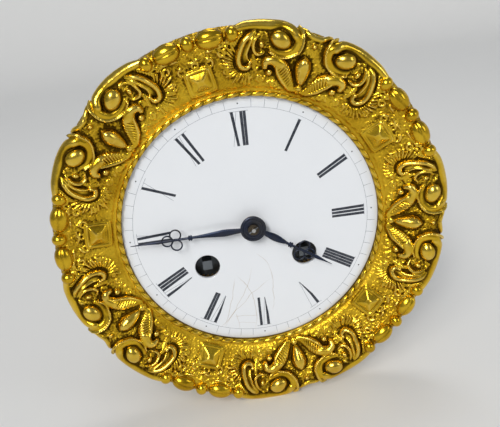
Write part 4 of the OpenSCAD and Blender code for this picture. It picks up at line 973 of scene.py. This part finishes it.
for finish, names in finishOf.items():
    for name in names:
        nodes[name].data.materials.clear()
        nodes[name].data.materials.append(finishes[finish])
left = set(nodes) - {name for names in finishOf.values() for name in names}
print("nodes dressed:", len(nodes) - len(left), "left:", sorted(left))


# Pale floor that rises into a backdrop all round, soft light, and the photograph's own viewing angle
studio = {
    "floorHeight": cadLow.z - 0.0005, "floorTone": (0.80, 0.80, 0.79), "floorShade": (0.74, 0.74, 0.73),
    "middle": -0.9, "flatRings": (0.02, 0.8, 1.6), "floorRadius": 2.2, "bendRadius": 0.9, "wallTop": 1.6,
    "world": (0.80, 0.86, 0.95), "worldLevel": 0.26,
}
daylight = {"from": (-0.30, -0.80, 0.52), "softness": 16, "strength": 1.55, "tone": (1.0, 0.985, 0.96)}
lamps = {
    "key": {"place": (-0.40, -0.75, 0.80), "size": (0.30, 0.30), "power": 2.6, "tone": (1.0, 0.97, 0.93)},
    "fill": {"place": (0.75, -0.55, 0.35), "size": (0.20, 0.40), "power": 0.9, "tone": (0.92, 0.96, 1.0)},
    "top": {"place": (0.1, 0.25, 0.9), "size": (0.4, 0.25), "power": 1.6, "tone": (1.0, 1.0, 1.0)},
}


def makeFloor():
    f = Finish("pale_floor")
    grain = f.noise(25, 4)
    f.dress(Base_Color=f.mix(grain * 0.15, studio["floorTone"], studio["floorShade"]), Roughness=0.85)
    bendRadius, wall = studio["bendRadius"], studio["floorRadius"] + studio["bendRadius"]
    profile = [(r, 0.0) for r in studio["flatRings"]]
    for a in np.radians(np.linspace(-90, 0, 16)):
        profile.append((studio["floorRadius"] + bendRadius * math.cos(a), bendRadius * (1 + math.sin(a))))
    profile.append((wall, studio["wallTop"]))
    angle = np.linspace(0, 2 * math.pi, 128, endpoint=False)
    points = [(r * math.cos(a), studio["middle"] + r * math.sin(a), studio["floorHeight"] + up)
              for r, up in profile for a in angle]
    mesh = bpy.data.meshes.new("floor")
    mesh.from_pydata(points, [], gridFaces(len(profile), len(angle)) + [list(range(len(angle)))])
    mesh.materials.append(f.material)
    mesh.shade_smooth()
    floor = bpy.data.objects.new("floor", mesh)
    bpy.context.scene.collection.objects.link(floor)


def makeSun(name, light):
    sun = bpy.data.lights.new(name, "SUN")
    sun.energy = light["strength"]
    sun.angle = math.radians(light["softness"])
    sun.color = light["tone"]
    holder = bpy.data.objects.new(name, sun)
    holder.rotation_euler = (-Vector(light["from"])).to_track_quat("-Z", "Y").to_euler()
    bpy.context.scene.collection.objects.link(holder)


def makeLamp(name, light):                       # every lamp points at the dial's centre
    lamp = bpy.data.lights.new(name, "AREA")
    lamp.shape = "RECTANGLE"
    lamp.size, lamp.size_y = light["size"]
    lamp.energy = light["power"]
    lamp.color = light["tone"]
    holder = bpy.data.objects.new(name, lamp)
    holder.location = light["place"]
    holder.rotation_euler = (-Vector(light["place"])).to_track_quat("-Z", "Y").to_euler()
    bpy.context.scene.collection.objects.link(holder)


def makeWorld():
    world = bpy.data.worlds.new("studio")
    bpy.context.scene.world = world
    world.use_nodes = True
    background = world.node_tree.nodes["Background"]
    background.inputs[0].default_value = (*studio["world"], 1)
    background.inputs[1].default_value = studio["worldLevel"]


lens = {"focalPixels": 600, "imageWidth": 500, "sensor": 36.0, "place": (-0.0136, -0.2198, 0.0822),
        "forward": (0.0581, 0.94, -0.3374), "up": (0.1419, 0.327, 0.9337)}


def makeCamera():
    data = bpy.data.cameras.new("camera")
    data.sensor_width = lens["sensor"]
    data.lens = lens["focalPixels"] / lens["imageWidth"] * lens["sensor"]
    data.clip_start = 0.01
    camera = bpy.data.objects.new("camera", data)
    back = -Vector(lens["forward"]).normalized()
    right = Vector(lens["up"]).cross(back).normalized()
    up = back.cross(right)
    camera.matrix_world = Matrix.Translation(lens["place"]) @ Matrix((right, up, back)).transposed().to_4x4()
    bpy.context.scene.collection.objects.link(camera)
    bpy.context.scene.camera = camera


makeFloor()
makeWorld()
makeSun("daylight", daylight)
for name, light in lamps.items():
    makeLamp(name, light)
makeCamera()
bpy.context.scene.view_settings.view_transform = "Standard"
print("studio made")
